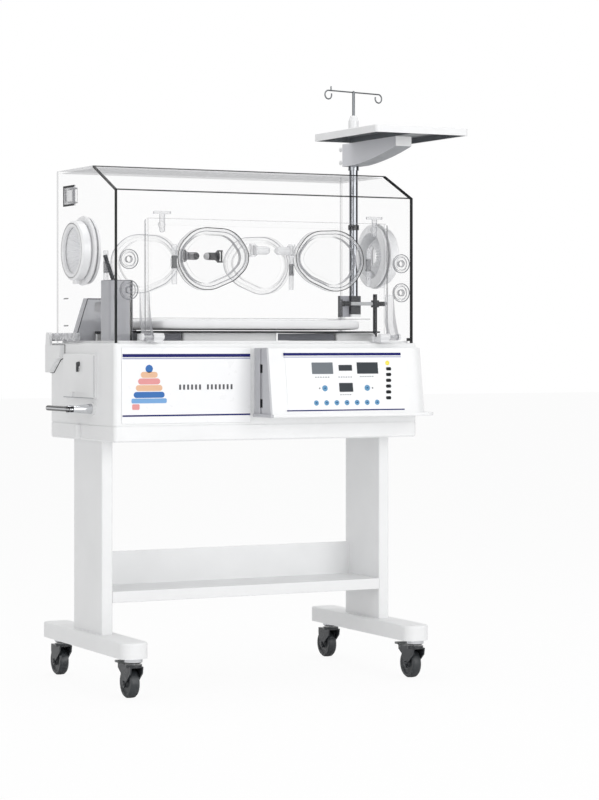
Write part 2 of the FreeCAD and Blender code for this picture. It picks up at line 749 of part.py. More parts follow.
def filter_cover():
    """The cover over the air filter, with a scooped finger pull along its lower edge."""
    face = -dim.cabinet_width / 2
    cover_thickness = 9.0
    body = new_body("filter_cover")
    cover = prism(body, "YZ_Plane", rectangle(-108.0, 104.0, 737.0, 850.0),
                  face - cover_thickness, cover_thickness)
    cover = rounded(body, cover, 8.0, lambda at, way: abs(way.x) > 0.99)
    rounded(body, cover, 2.5,
            lambda at, way: at.x < float(face) - float(cover_thickness) + 0.1)
    scoop = rectangle(-52.0, 42.0, 730.0, 752.0)
    prism(body, "YZ_Plane", scoop, face - cover_thickness, 5.0, cutting=True)
    discs(body, "YZ_Plane", [(-8.0, 824.0, 4.0 + dim.fit_gap)], face - cover_thickness - 1.0,
          cover_thickness + 2.0, cutting=True)
    return keep(body, "filter_cover")


def filter_knob():
    """A small turning latch that holds the filter cover: a hub with a hanging finger."""
    face = -dim.cabinet_width / 2
    knob_y, knob_z = -8.0, 824.0
    cover_thickness = 9.0
    shaft = rod("x", face - cover_thickness - 1.0, knob_y, knob_z, 4.0, cover_thickness)
    hub = taper("x", face - cover_thickness - 6.5, knob_y, knob_z, 5.0, 6.5, 6.0)
    finger_half = 2.4
    finger_end = knob_z - 18.0
    finger = block((face - cover_thickness - 8.0, face - cover_thickness - 2.5),
                   (knob_y - finger_half, knob_y + finger_half), (finger_end, knob_z + 3.0))
    tip = rod("x", face - cover_thickness - 8.0, knob_y, finger_end, finger_half, 5.5)
    return keep(joined(shaft, hub, finger, tip), "filter_knob")


def air_filter():
    """Pleated paper in the opening behind the cover."""
    pleats = 14
    front, back = -86.0, 82.0
    pitch = (back - front) / pleats
    outer = -float(dim.cabinet_width) / 2
    inner = outer + 12.0
    paper = 1.2
    ridge = []
    for index in range(pleats):
        ridge.append((front + pitch * index, outer))
        ridge.append((front + pitch * (index + 0.5), inner))
    ridge.append((back, outer))
    outline = ridge + [(y, x + paper) for y, x in reversed(ridge)]
    points = [Vector(x, y, 760.0) for y, x in outline]
    wire = Part.makePolygon(points + points[:1])
    shape = Part.Face(wire).extrude(Vector(0, 0, 74.0))
    return keep(fixed_shape("air_filter", shape), "air_filter")


def tilt_lever():
    """The bed's tilt lever: a shaft, a tapered post and a round grip to the rear."""
    face = -dim.cabinet_width / 2
    post_end = face - 64.0
    y, z = dim.lever_y, dim.lever_z
    shaft = rod("x", face - 7.0, y, z, 6.0, 32.0)
    post = taper("x", post_end, y, z, 8.0, 13.0, 57.5)
    knuckle = rod("x", post_end - 7.0, y, z, 9.5, 16.0)
    grip_radius = 7.0
    grip_start = y - 14.0
    grip_length = 160.0
    grip = rod("y", post_end, grip_start, z, grip_radius, grip_length)
    ends = []
    for end in (grip_start, grip_start + grip_length):
        ball = doc.addObject("Part::Sphere", unique("ball"))
        bind(ball, "Radius", grip_radius)
        bind(ball, "Placement.Base.x", post_end)
        bind(ball, "Placement.Base.y", end)
        bind(ball, "Placement.Base.z", z)
        ends.append(ball)
    return keep(joined(shaft, post, knuckle, grip, *ends), "tilt_lever")


# What works inside the cabinet


FAN_X = -285.0
FAN_Y = -5.0


def fan_motor():
    """A round motor on a foot plate on the tray's floor."""
    floor = dim.cabinet_bottom + dim.sheet_metal
    can = rod("z", FAN_X, FAN_Y, 700.0, 34.0, 78.0)
    bell = taper("z", FAN_X, FAN_Y, 778.0, 34.0, 20.0, 8.0)
    pedestal = block((FAN_X - 42.0, FAN_X + 42.0), (FAN_Y - 42.0, FAN_Y + 42.0),
                     (floor, floor + 6.0))
    legs = [block((FAN_X + sx * 30.0 - 5.0, FAN_X + sx * 30.0 + 5.0),
                  (FAN_Y - 12.0, FAN_Y + 12.0), (floor, 712.0)) for sx in (-1, 1)]
    bore = rod("z", FAN_X, FAN_Y, 764.0, 4.0 + dim.fit_gap, 30.0)
    return keep(without(joined(can, bell, pedestal, *legs), bore), "fan_motor")


def fan_impeller():
    """A centrifugal wheel: back plate, curved blades, shroud ring and its shaft."""
    blades = 18
    outer_radius = 54.0
    inner_radius = 36.0
    low, high = 797.0, 838.0
    plate = Part.makeCylinder(outer_radius, 2.0, Vector(0, 0, low))
    ring = Part.makeCylinder(outer_radius, 2.0, Vector(0, 0, high - 2.0)).cut(
        Part.makeCylinder(inner_radius + 6.0, 2.0, Vector(0, 0, high - 2.0)))
    hub = Part.makeCone(13.0, 7.0, 18.0, Vector(0, 0, low + 1.0))
    shaft = Part.makeCylinder(4.0, 40.0, Vector(0, 0, low - 32.0))
    blade_thickness = 1.4
    blade_arc = Part.makeCylinder(26.0, high - low - 2.0, Vector(0, 0, low + 1.0)).cut(
        Part.makeCylinder(26.0 - blade_thickness, high - low - 2.0, Vector(0, 0, low + 1.0)))
    blade_arc.translate(Vector(inner_radius + 8.0, 22.0, 0))
    band = Part.makeCylinder(outer_radius - 1.0, 60.0, Vector(0, 0, low - 5.0)).cut(
        Part.makeCylinder(inner_radius, 60.0, Vector(0, 0, low - 5.0)))
    sector = Part.makeBox(60.0, 24.0, 60.0, Vector(20.0, -12.0, low - 5.0))
    blade = blade_arc.common(band).common(sector)
    wheel = plate.fuse([ring, hub, shaft])
    for index in range(blades):
        copy = blade.copy()
        copy.rotate(Vector(), Vector(0, 0, 1), 360.0 / blades * index)
        wheel = wheel.fuse(copy)
    return keep(fixed_shape("fan_impeller", wheel.removeSplitter()), "fan_impeller",
                FAN_X, FAN_Y, 0.0)


def heater():
    """Two straight heater rods through a stack of fins, on cross bars over the tank."""
    fins = 12
    pitch = 9.0
    first = 92.0
    rods = [rod("x", first - 12.0, y, 838.0, 4.0, pitch * (fins - 1) + 24.0)
            for y in (-30.0, 10.0)]
    plates = [block((first + pitch * index - 0.6, first + pitch * index + 0.6),
                    (-52.0, 32.0), (816.0, 860.0)) for index in range(fins)]
    ends = (first - 10.0, first + pitch * (fins - 1) + 10.0)
    feet = [block((x - 1.5, x + 1.5), (-52.0, 32.0), (780.0, 848.0)) for x in ends]
    bars = [block((x - 4.0, x + 4.0), (-128.0, 108.0), (780.0, 784.0)) for x in ends]
    return keep(joined(*rods, *plates, *feet, *bars), "heater")


def water_tank():
    """The humidifier's open tank under the heater, standing on legs in the tray."""
    body = new_body("water_tank")
    top, bottom, wall = 780.0, 690.0, 3.0
    tank = prism(body, "XY_Plane", rectangle(50.0, 240.0, -130.0, 110.0), bottom, top - bottom)
    tank = rounded(body, tank, 14.0, upright)
    prism(body, "XY_Plane", rectangle(50.0 + 2 * wall, 240.0 - 2 * wall,
                                      -130.0 + 2 * wall, 110.0 - 2 * wall),
          bottom + wall, top - bottom - 2 * wall, cutting=True)
    floor = dim.cabinet_bottom + dim.sheet_metal
    legs = [(x, y, 8.0) for x in (75.0, 215.0) for y in (-105.0, 85.0)]
    discs(body, "XY_Plane", legs, floor, bottom - floor + wall / 2)
    return keep(body, "water_tank")


def chamber_base():
    """The moulded floor of the hood: two air openings, and plinths under the bed deck."""
    body = new_body("chamber_base")
    bottom = dim.cabinet_top
    thickness = 6.0
    side_gap = 2.5
    swing_gap = 8.5
    half = dim.hood_half - dim.acrylic - side_gap
    front = dim.hood_front + dim.acrylic + side_gap
    rear = dim.hood_rear - dim.acrylic - swing_gap
    floor = prism(body, "XY_Plane", rectangle(-half, half, front, rear), bottom, thickness)
    rounded(body, floor, 6.0, upright)
    plinth_top = dim.deck_bottom - 1.0
    plinth_depth = (-150.0, 128.0)
    for left, right in ((-215.0, 52.0), (226.0, 338.0)):
        plinth = prism(body, "XY_Plane", rectangle(left, right, *plinth_depth),
                       bottom + thickness / 2, plinth_top - bottom - thickness / 2)
        rounded(body, plinth, 6.0,
                lambda at, way: upright(at, way) and at.z > float(bottom) + 8)
        prism(body, "XY_Plane", rectangle(left + 4.0, right - 4.0,
                                          plinth_depth[0] + 4.0, plinth_depth[1] - 4.0),
              bottom - 1.0, plinth_top - bottom - 3.0, cutting=True)
    for left, right in ((-342.0, -224.0), (62.0, 216.0)):
        prism(body, "XY_Plane", rectangle(left, right, -120.0, 112.0), bottom - 1.0,
              thickness + 3.0, cutting=True)
    posts = []
    for y in (-146.0, 128.0):
        posts.append(block((dim.bed_pivot_x - 7.0, dim.bed_pivot_x + 7.0), (y - 5.0, y + 5.0),
                           (bottom + thickness - 1.0, dim.bed_pivot_z + 5.0)))
        posts.append(rod("y", dim.bed_pivot_x, y + 4.0, dim.bed_pivot_z, 3.0, 10.0))
    return keep(joined(body, *posts), "chamber_base")


def air_duct_covers():
    """Inside the hood: the sensor housing at the left, and the warm air duct at the rear."""
    floor = dim.cabinet_top + 6.0
    sensor = new_body("sensor_housing")
    case = prism(sensor, "XY_Plane", rectangle(-412.0, -348.0, -140.0, -78.0),
                 floor, 1036.0 - floor)
    case = rounded(sensor, case, 5.0, upright)
    rounded(sensor, case, 3.0, lambda at, way: at.z > 1035.9)
    prism(sensor, "XY_Plane", rectangle(-409.0, -351.0, -137.0, -81.0), floor,
          1033.0 - floor, cutting=True)
    for level in range(4):
        slot = rectangle(-130.0, -88.0, 940.0 + 18.0 * level, 946.0 + 18.0 * level)
        prism(sensor, "YZ_Plane", slot, -353.0, 8.0, cutting=True)
    duct = new_body("duct")
    slant = [(-392.0, floor), (-206.0, floor), (-256.0, 995.0), (-356.0, 995.0)]
    inner = [(-388.0, floor - 1.0), (-211.0, floor - 1.0), (-258.5, 992.0), (-353.5, 992.0)]
    duct_rear = 174.0
    duct_depth = 30.0
    duct_wall = 3.0
    prism(duct, "XZ_Plane", slant, -duct_rear, duct_depth)
    prism(duct, "XZ_Plane", inner, -duct_rear + duct_wall, duct_depth - 2 * duct_wall,
          cutting=True)
    mouth = rectangle(-336.0, -276.0, 958.0, 984.0)
    prism(duct, "XZ_Plane", mouth, -duct_rear + duct_depth - 7.0, 10.0, cutting=True)
    return keep(together(sensor, duct), "air_duct_covers")


# The bed


def bed_deck():
    """A thin stiff plate that carries the bed, with two hinge lugs at its left end."""
    body = new_body("bed_deck")
    deck_thickness = 4.0
    plate = prism(body, "XY_Plane", rectangle(dim.deck_left, dim.deck_right,
                                              dim.bed_front - 2.0, dim.bed_rear + 2.0),
                  dim.deck_bottom, deck_thickness)
    rounded(body, plate, 8.0, upright)
    lug_radius = 6.0
    for y in (-134.5, 139.5):
        outline = rectangle(dim.bed_pivot_x - lug_radius, dim.bed_pivot_x + lug_radius,
                            dim.bed_pivot_z, dim.deck_bottom + 1.0)
        prism(body, "XZ_Plane", outline, -y, 6.0)
        discs(body, "XZ_Plane", [(dim.bed_pivot_x, dim.bed_pivot_z, lug_radius)], -y, 6.0)
        discs(body, "XZ_Plane", [(dim.bed_pivot_x, dim.bed_pivot_z, 3.0 + dim.fit_gap)],
              -y - 1.0, 8.0, cutting=True)
    return keep(body, "bed_deck")


def bed_tray():
    """The clear tray that holds the mattress."""
    body = new_body("bed_tray")
    bottom = dim.deck_bottom + 4.0
    wall = 4.0
    height = 33.0
    tray = prism(body, "XY_Plane", rectangle(dim.bed_left, dim.bed_right,
                                             dim.bed_front, dim.bed_rear), bottom, height)
    tray = rounded(body, tray, 10.0, upright)
    prism(body, "XY_Plane", rectangle(dim.bed_left + wall, dim.bed_right - wall,
                                      dim.bed_front + wall, dim.bed_rear - wall),
          bottom + wall, height, cutting=True)
    return keep(body, "bed_tray")


def mattress():
    """Foam in a smooth cover, a little smaller than its tray."""
    body = new_body("mattress")
    inset = 7.0
    bottom = dim.deck_bottom + 8.0
    pad = prism(body, "XY_Plane", rectangle(dim.bed_left + inset, dim.bed_right - inset,
                                            dim.bed_front + inset, dim.bed_rear - inset),
                bottom, dim.mattress_thickness)
    pad = rounded(body, pad, 16.0, upright)
    rounded(body, pad, 6.0,
            lambda at, way: at.z > float(bottom + dim.mattress_thickness) - 0.1)
    return keep(body, "mattress")


# The outline of the hand ports


PORT_CIRCLES = [(32.0, 2.5, 68.0), (16.5, 0.5, 80.0), (-23.0, 7.5, 71.5),
                (-47.5, 5.5, 53.0), (-23.0, 7.5, 71.5), (16.5, 0.5, 80.0)]


def tangent_outline(circles, grow, mirror, x, z, y):
    """The band stretched round a few circles: their outer tangents and arcs, in a plane y."""
    spots = [(cx, cz, radius + grow) for cx, cz, radius in circles]
    count = len(spots)
    touch = []
    for index in range(count):
        x0, z0, r0 = spots[index]
        x1, z1, r1 = spots[(index + 1) % count]
        span = math.hypot(x1 - x0, z1 - z0)
        heading = math.atan2(z1 - z0, x1 - x0)
        swing = heading - math.acos((r0 - r1) / span)
        reach = (math.cos(swing), math.sin(swing))
        touch.append(((x0 + r0 * reach[0], z0 + r0 * reach[1]),
                      (x1 + r1 * reach[0], z1 + r1 * reach[1]), swing))
    edges = []

    def place(point):
        return Vector(x + mirror * point[0], y, z + point[1])

    for index in range(count):
        leaving, reaching, swing = touch[index]
        next_leaving, next_reaching, next_swing = touch[(index + 1) % count]
        cx, cz, radius = spots[(index + 1) % count]
        turn = (next_swing - swing) % (2 * math.pi)
        middle_angle = swing + turn / 2
        middle = (cx + radius * math.cos(middle_angle), cz + radius * math.sin(middle_angle))
        edges.append(Part.LineSegment(place(leaving), place(reaching)).toShape())
        edges.append(Part.Arc(place(reaching), place(middle), place(next_leaving)).toShape())
    return Part.Wire(edges)


def port_plate(grow, mirror, x, y, depth):
    """A solid slab of the port's outline, from y forward or backward by its depth."""
    wire = tangent_outline(PORT_CIRCLES, grow, mirror, x, float(dim.port_z), y)
    return Part.Face(wire).extrude(Vector(0, depth, 0))


def port_ring(outer, inner, mirror, x, y, depth):
    return port_plate(outer, mirror, x, y, depth).cut(port_plate(inner, mirror, x, y, depth))


PORT_HOLE = -16.0
RIM_DEPTH = 7.5
DOOR_GAP = 0.4
HINGE_FORWARD = 14.5
HINGE_RISE = 24.0
LATCH_OUT = 110.5


# The hood


def canopy():
    """A clear hood of flat sheets bonded edge to edge, with all its openings."""
    front, rear = dim.hood_front, dim.hood_rear
    wall = dim.acrylic
    half = dim.hood_half
    shoulder_drop = 3.9
    ridge_shift = 1.3
    outside = [(front, dim.cabinet_top), (front, dim.hood_shoulder),
               (dim.hood_roof_front, dim.hood_roof), (rear, dim.hood_roof),
               (rear, dim.cabinet_top)]
    inside = [(front + wall, dim.cabinet_top), (front + wall, dim.hood_shoulder - shoulder_drop),
              (dim.hood_roof_front + ridge_shift, dim.hood_roof - wall),
              (rear - wall, dim.hood_roof - wall), (rear - wall, dim.cabinet_top)]
    sheets = []
    for index in range(len(outside) - 1):
        body = new_body("hood_sheet")
        band = [outside[index], outside[index + 1], inside[index + 1], inside[index]]
        prism(body, "YZ_Plane", band, -half + wall, 2 * half - 2 * wall)
        sheets.append(body)
    front_sheet, slope_sheet, roof_sheet, rear_sheet = sheets
    opening_half = dim.panel_half - 20.0
    entry = prism(front_sheet, "XZ_Plane",
                  rectangle(-opening_half, opening_half,
                            dim.panel_bottom + 10.0, dim.panel_top - 17.0),
                  -front - 2 * wall, 3 * wall, cutting=True)
    rounded(front_sheet, entry, 12.0,
            lambda at, way: abs(way.y) > 0.99 and abs(abs(at.x) - float(opening_half)) < 1)
    tubes = [(side * dim.grommet_x, z, 19.0) for side in (-1, 1) for z in (1009.5, 1086.0)]
    discs(front_sheet, "XZ_Plane", tubes, -front - 2 * wall, 3 * wall, cutting=True)
    rear_holes = [port_plate(PORT_HOLE, side, side * float(dim.port_x),
                             float(rear) - 10.0, 14.0) for side in (-1, 1)]
    holes = fixed_shape("rear_port_holes", Part.makeCompound(rear_holes))
    iris = [(0, dim.iris_z, dim.iris_bore + 0.6)]
    ends = []
    for start in (-half, half - wall):
        end_sheet = new_body("hood_end")
        prism(end_sheet, "YZ_Plane", outside, start, wall)
        discs(end_sheet, "YZ_Plane", iris, start - 1.0, wall + 2.0, cutting=True)
        ends.append(end_sheet)
    vent = rectangle(68.0, 123.0, 1238.0, 1279.0)
    prism(ends[0], "YZ_Plane", vent, -half - 1.0, wall + 2.0, cutting=True)
    pieces = together(front_sheet, slope_sheet, roof_sheet, without(rear_sheet, holes), *ends)
    return keep(pieces, "canopy")


def knobby_arm(side):
    """The hood's hinge arm: a bar along the lower edge with round screw bosses."""
    inner = float(dim.hood_half)
    depth = 15.0
    start = inner if side > 0 else -inner - depth
    bar = Part.makeBox(depth, 170.0, 13.0, Vector(start, 26.0, float(dim.hinge_z) - 6.5))
    pieces = []
    boss_radius = 10.5
    for y in (36.0, 76.0, 116.0, 156.0, float(dim.hinge_y)):
        pieces.append(Part.makeCylinder(boss_radius, depth, Vector(start, y, float(dim.hinge_z)),
                                        Vector(1, 0, 0)))
    arm = bar.fuse(pieces)
    bore = Part.makeCylinder(float(dim.hinge_pin) / 2 + float(dim.fit_gap), depth + 4.0,
                             Vector(start - 2.0, float(dim.hinge_y), float(dim.hinge_z)),
                             Vector(1, 0, 0))
    return arm.cut(bore).removeSplitter()


def canopy_hinge_arms():
    shape = Part.makeCompound([knobby_arm(-1), knobby_arm(1)])
    return keep(fixed_shape("canopy_hinge_arms", shape), "canopy_hinge_arms")


def hinge_bracket(side):
    """A plate screwed to the cabinet's side, with an ear and the hinge pin."""
    face = dim.cabinet_width / 2
    plate_thickness = 15.5
    ear_start = dim.hood_half + 15.5
    ear_thickness = face + plate_thickness - ear_start
    outline = [(112.0, 872.0), (214.0, 872.0), (214.0, 800.0), (188.0, 800.0), (140.0, 834.0),
               (112.0, 840.0)]
    ear = [(182.0, 871.0), (212.0, 871.0), (209.0, 900.0), (203.0, 905.0), (189.0, 905.0),
           (184.0, 900.0)]
    body = new_body("hinge_bracket")
    start = face if side > 0 else -face - plate_thickness
    base = prism(body, "YZ_Plane", outline, start, plate_thickness)
    rounded(body, base, 3.0, lambda at, way: abs(way.x) > 0.99 and at.z < 870.0)
    ear_at = ear_start if side > 0 else -ear_start - ear_thickness
    prism(body, "YZ_Plane", ear, ear_at, ear_thickness)
    pin_length = 14.0
    pin_at = ear_start - pin_length + 0.5 if side > 0 else -ear_start - 0.5
    pin = rod("x", pin_at, dim.hinge_y, dim.hinge_z, dim.hinge_pin / 2, pin_length)
    return joined(body, pin)


def canopy_hinge_brackets():
    return keep(together(hinge_bracket(-1), hinge_bracket(1)), "canopy_hinge_brackets")


def grommet(x, z):
    """A ringed rubber tube port in the front wall."""
    front = float(dim.hood_front)
    flange = Part.makeCylinder(25.0, 3.0, Vector(x, front - 3.0, z), Vector(0, 1, 0))
    bead = Part.makeCone(15.5, 18.0, 4.0, Vector(x, front - 6.5, z), Vector(0, 1, 0))
    plug = Part.makeCylinder(18.7, 10.0, Vector(x, front - 3.0, z), Vector(0, 1, 0))
    back = Part.makeCylinder(22.0, 2.0, Vector(x, front + float(dim.acrylic), z),
                             Vector(0, 1, 0))
    hole = Part.makeCylinder(8.0, 30.0, Vector(x, front - 12.0, z), Vector(0, 1, 0))
    return flange.fuse([bead, plug, back]).cut(hole).removeSplitter()


def access_grommets():
    """Four tube grommets, and the small framed vent high on the left wall."""
    pieces = [grommet(side * float(dim.grommet_x), z) for side in (-1, 1)
              for z in (1009.5, 1086.0)]
    half = float(dim.hood_half)
    frame = Part.makeBox(4.0, 75.0, 53.0, Vector(-half - 4.0, 58.0, 1232.0))
    sleeve = Part.makeBox(10.0, 54.4, 40.4, Vector(-half, 68.3, 1238.3))
    window = Part.makeBox(30.0, 47.0, 33.0, Vector(-half - 10.0, 72.0, 1242.0))
    shutter = Part.makeBox(1.6, 47.0, 33.0, Vector(-half + 2.0, 72.0, 1242.0))
    pieces.append(frame.fuse(sleeve).cut(window).fuse(shutter).removeSplitter())
    shape = Part.makeCompound(pieces)
    return keep(fixed_shape("access_grommets", shape), "access_grommets")


def end_wall_turning(side, profile):
    """A turned ring on an end wall: pairs of distance out from the wall, and radius."""
    half = float(dim.hood_half)
    points = [Vector(side * (half + out), radius, 0) for out, radius in profile]
    wire = Part.makePolygon(points + points[:1])
    ring = Part.Face(wire).revolve(Vector(), Vector(1, 0, 0), 360)
    if ring.Volume < 0:
        ring.reverse()
    ring.translate(Vector(0, 0, float(dim.iris_z)))
    return ring


def iris_flanges():
    """A tube through each end wall, clamped by a wide flange outside and inside."""
    bore = float(dim.iris_bore)
    profile = [(0, bore), (0, bore + 20), (3, bore + 21), (6, bore + 19), (6, bore + 2),
               (8, bore), (24, bore), (24, bore - 5), (-16, bore - 5), (-16, bore - 3),
               (-12, bore + 17), (-8, bore + 18), (-6, bore + 17), (-6, bore)]
    shape = Part.makeCompound([end_wall_turning(side, profile) for side in (-1, 1)])
    return keep(fixed_shape("iris_flanges", shape), "iris_flanges")


def iris_ring(label, side):
    """The turning ring that twists the sleeve shut, with a finger tab below."""
    bore = float(dim.iris_bore)
    profile = [(9, bore + 0.4), (9, bore + 5), (12, bore + 8), (31, bore + 8), (35, bore + 4),
               (35, bore - 6), (33, bore - 8), (26.5, bore - 8), (26.5, bore + 0.4)]
    ring = end_wall_turning(side, profile)
    half = float(dim.hood_half)
    tab_start = side * (half + 22.0) - 6.0
    tab = Part.makeBox(12.0, 16.0, 12.0, Vector(tab_start, -8.0, float(dim.iris_z) - bore - 17))
    return keep(fixed_shape(label, ring.fuse(tab).removeSplitter()), label)


def iris_sleeves():
    """The soft cuff in each tube, drawn in towards its middle."""
    bore = float(dim.iris_bore)
    profile = [(24, bore - 1), (24, bore - 6), (-4, 31.6), (-12, 25.6), (-12.8, 24.2),
               (-4.6, 29.4), (24.6, bore - 7.4), (26, bore - 7), (26, bore - 1)]
    shape = Part.makeCompound([end_wall_turning(side, profile) for side in (-1, 1)])
    return keep(fixed_shape("iris_sleeves", shape), "iris_sleeves")


# The hand ports: the same parts face forward on the front panel, backward on the rear wall


FRONT_FACE = float(dim.hood_front) - float(dim.panel_gap) - float(dim.panel_thickness)
REAR_FACE = float(dim.hood_rear)


def port_rim(side, face, way):
    """The gasket frame round the hole, its sleeve, and the door's hinge housing."""
    x = side * float(dim.port_x)
    rim = port_ring(0.0, PORT_HOLE + 2.0, side, x, face, way * RIM_DEPTH)
    sleeve = port_ring(PORT_HOLE - 0.5, PORT_HOLE - 3.0, side, x, face - way * 9.0, way * 16.5)
    collar = port_ring(PORT_HOLE + 2.0, PORT_HOLE - 3.0, side, x, face, way * RIM_DEPTH)
    pin_x = side * float(dim.port_hinge_x)
    pin_y = face + way * HINGE_FORWARD
    pin_z = float(dim.port_z) + HINGE_RISE
    inward = -side
    barrel_radius = 10.5
    barrel_start, barrel_end = 12.0, 43.0
    barrel = Part.makeCylinder(barrel_radius, barrel_end - barrel_start,
                               Vector(pin_x + inward * barrel_start, pin_y, pin_z),
                               Vector(inward, 0, 0))
    dome = Part.makeSphere(barrel_radius, Vector(pin_x + inward * barrel_end, pin_y, pin_z))
    disc = Part.makeCylinder(14.0, 3.5, Vector(pin_x + inward * 11.0, pin_y, pin_z),
                             Vector(inward, 0, 0))
    foot_y = min(face, face + way * HINGE_FORWARD)
    foot_left = min(pin_x + inward * 18.0, pin_x + inward * 40.0)
    foot = Part.makeBox(22.0, HINGE_FORWARD, 17.0, Vector(foot_left, foot_y, pin_z - 8.5))
    housing = barrel.fuse([dome, disc, foot])
    yoke_radius = 4.5
    yoke_left = min(pin_x, pin_x + inward * barrel_start)
    for low in (pin_z - 17.0, pin_z + 12.5):
        ear = Part.makeBox(barrel_start, 2 * yoke_radius, 4.5,
                           Vector(yoke_left, pin_y - yoke_radius, low))
        nose = Part.makeCylinder(yoke_radius, 4.5, Vector(pin_x, pin_y, low))
        housing = housing.fuse([ear, nose])
    bridge_left = min(pin_x + inward * 9.0, pin_x + inward * 12.0)
    housing = housing.fuse(Part.makeBox(3.0, 2 * yoke_radius, 34.0,
                                        Vector(bridge_left, pin_y - yoke_radius, pin_z - 17.0)))
    pin = Part.makeCylinder(2.5, 32.0, Vector(pin_x, pin_y, pin_z - 16.0))
    return [rim.fuse([collar, sleeve]).removeSplitter(), housing.fuse(pin).removeSplitter()]


def port_rims(label, face, way):
    pieces = port_rim(-1, face, way) + port_rim(1, face, way)
    return keep(fixed_shape(label, Part.makeCompound(pieces)), label)


def port_door(label, side, face, way):
    """A clear dished door in a thick rim, with its hinge knuckle and a latch lug."""
    x = side * float(dim.port_x)
    back = face + way * (RIM_DEPTH + DOOR_GAP)
    frame = port_ring(-1.0, -11.0, side, x, back, way * 9.0)
    pane = port_plate(-9.0, side, x, back, way * 3.0)
    bulge = port_plate(-26.0, side, x, back, way * 5.0)
    pin_x = side * float(dim.port_hinge_x)
    pin_y = face + way * HINGE_FORWARD
    pin_z = float(dim.port_z) + HINGE_RISE
    knuckle = Part.makeCylinder(5.5, 24.0, Vector(pin_x, pin_y, pin_z - 12.0))
    web_left = min(pin_x, pin_x + side * 18.0)
    web = Part.makeBox(18.0, 6.0, 16.0, Vector(web_left, pin_y - 3.0, pin_z - 8.0))
    hole = Part.makeCylinder(2.5 + float(dim.fit_gap), 30.0, Vector(pin_x, pin_y, pin_z - 15.0))
    lug_x = x + side * LATCH_OUT
    lug_start, lug_end = 90.0, LATCH_OUT + 4.5
    lug_left = min(x + side * lug_start, x + side * lug_end)
    lug_y = min(back + way * 1.0, back + way * 8.0)
    lug = Part.makeBox(lug_end - lug_start, 7.0, 20.0,
                       Vector(lug_left, lug_y, float(dim.port_z) - 20.0))
    lug_hole = Part.makeCylinder(2.0 + float(dim.fit_gap), 30.0,
                                 Vector(lug_x, back + way * 4.5, float(dim.port_z) - 25.0))
    door = frame.fuse([pane, bulge, knuckle, web, lug]).cut(hole).cut(lug_hole)
    return keep(fixed_shape(label, door.removeSplitter()), label)


def port_latch(label, side, face, way):
    """The elbow paddle at the door's free edge, on a short upright pin."""
    lug_x = side * (float(dim.port_x) + LATCH_OUT)
    lug_y = face + way * (RIM_DEPTH + DOOR_GAP + 4.5)
    middle = float(dim.port_z) - 10.0
    pin = Part.makeCylinder(2.0, 33.0, Vector(lug_x, lug_y, middle - 16.5))
    ears = []
    for low in (middle - 15.0, middle + 10.6):
        ears.append(Part.makeCylinder(4.0, 4.4, Vector(lug_x, lug_y, low)))
        ears.append(Part.makeBox(8.0, 10.0, 4.4,
                                 Vector(lug_x - 4.0, min(lug_y, lug_y + way * 10.0), low)))
    paddle_y = lug_y + way * 7.5
    paddle_height = 100.0
    paddle_bottom = float(dim.port_z) - 65.0
    paddle = Part.makeBox(13.0, 3.5, paddle_height,
                          Vector(lug_x - 6.5, min(paddle_y, paddle_y + way * 3.5), paddle_bottom))
    paddle = paddle.makeFillet(2.5, [edge for edge in paddle.Edges
                                     if abs(edge.tangentAt(0).y) > 0.99])
    shape = paddle.fuse([pin] + ears).removeSplitter()
    return keep(fixed_shape(label, shape), label)


# The front panel


def front_panel():
    """The drop-down panel in front of the hood's opening, with both port holes."""
    body = new_body("panel")
    sheet_body = prism(body, "XZ_Plane", rectangle(-dim.panel_half, dim.panel_half,
                                                   dim.panel_bottom, dim.panel_top),
                       -dim.hood_front + dim.panel_gap, dim.panel_thickness)
    sheet_body = rounded(body, sheet_body, 9.0, lambda at, way: abs(way.y) > 0.99)
    holes = [port_plate(PORT_HOLE, side, side * float(dim.port_x), FRONT_FACE - 5.0, 15.0)
             for side in (-1, 1)]
    cutter = fixed_shape("panel_port_holes", Part.makeCompound(holes))
    return keep(without(body, cutter), "front_panel")


ARM_OUTER = 362.0
ARM_INNER = 337.0
BARREL_INNER = 308.0


def panel_hinge_arm(side):
    """A curved arm from the panel's lower corner down and forward to its hinge knuckle."""
    face = FRONT_FACE
    axis_y, axis_z = float(dim.panel_hinge_y), float(dim.hinge_z)
    start = side * ARM_INNER if side > 0 else -ARM_OUTER
    wide = ARM_OUTER - ARM_INNER
    outer = [Vector(start, face, 1004.0), Vector(start, face - 5.0, 1004.0)]
    curve_front = Part.Arc(outer[1], Vector(start, face - 12.0, 950.0),
                           Vector(start, axis_y - 8.5, axis_z + 2.0)).toShape()
    curve_back = Part.Arc(Vector(start, axis_y + 8.5, axis_z), Vector(start, face - 6.0, 915.0),
                          Vector(start, face, 932.0)).toShape()
    edges = [
        Part.LineSegment(outer[0], outer[1]).toShape(),
        curve_front,
        Part.LineSegment(Vector(start, axis_y - 8.5, axis_z + 2.0),
                         Vector(start, axis_y + 8.5, axis_z)).toShape(),
        curve_back,
        Part.LineSegment(Vector(start, face, 932.0), outer[0]).toShape(),
    ]
    web = Part.Face(Part.Wire(edges)).extrude(Vector(wide, 0, 0))
    outside = Part.makeBox(wide + 30.0, 60.0, 130.0, Vector(start - 15.0, face, 880.0))
    web = web.cut(outside)
    knuckle = Part.makeCylinder(9.0, wide, Vector(start, axis_y, axis_z), Vector(1, 0, 0))
    bore = Part.makeCylinder(float(dim.hinge_pin) / 2 + float(dim.fit_gap), wide + 2.0,
                             Vector(start - 1.0, axis_y, axis_z), Vector(1, 0, 0))
    return web.fuse(knuckle).cut(bore).removeSplitter()


def panel_hinge_arms():
    shape = Part.makeCompound([panel_hinge_arm(-1), panel_hinge_arm(1)])
    return keep(fixed_shape("panel_hinge_arms", shape), "panel_hinge_arms")


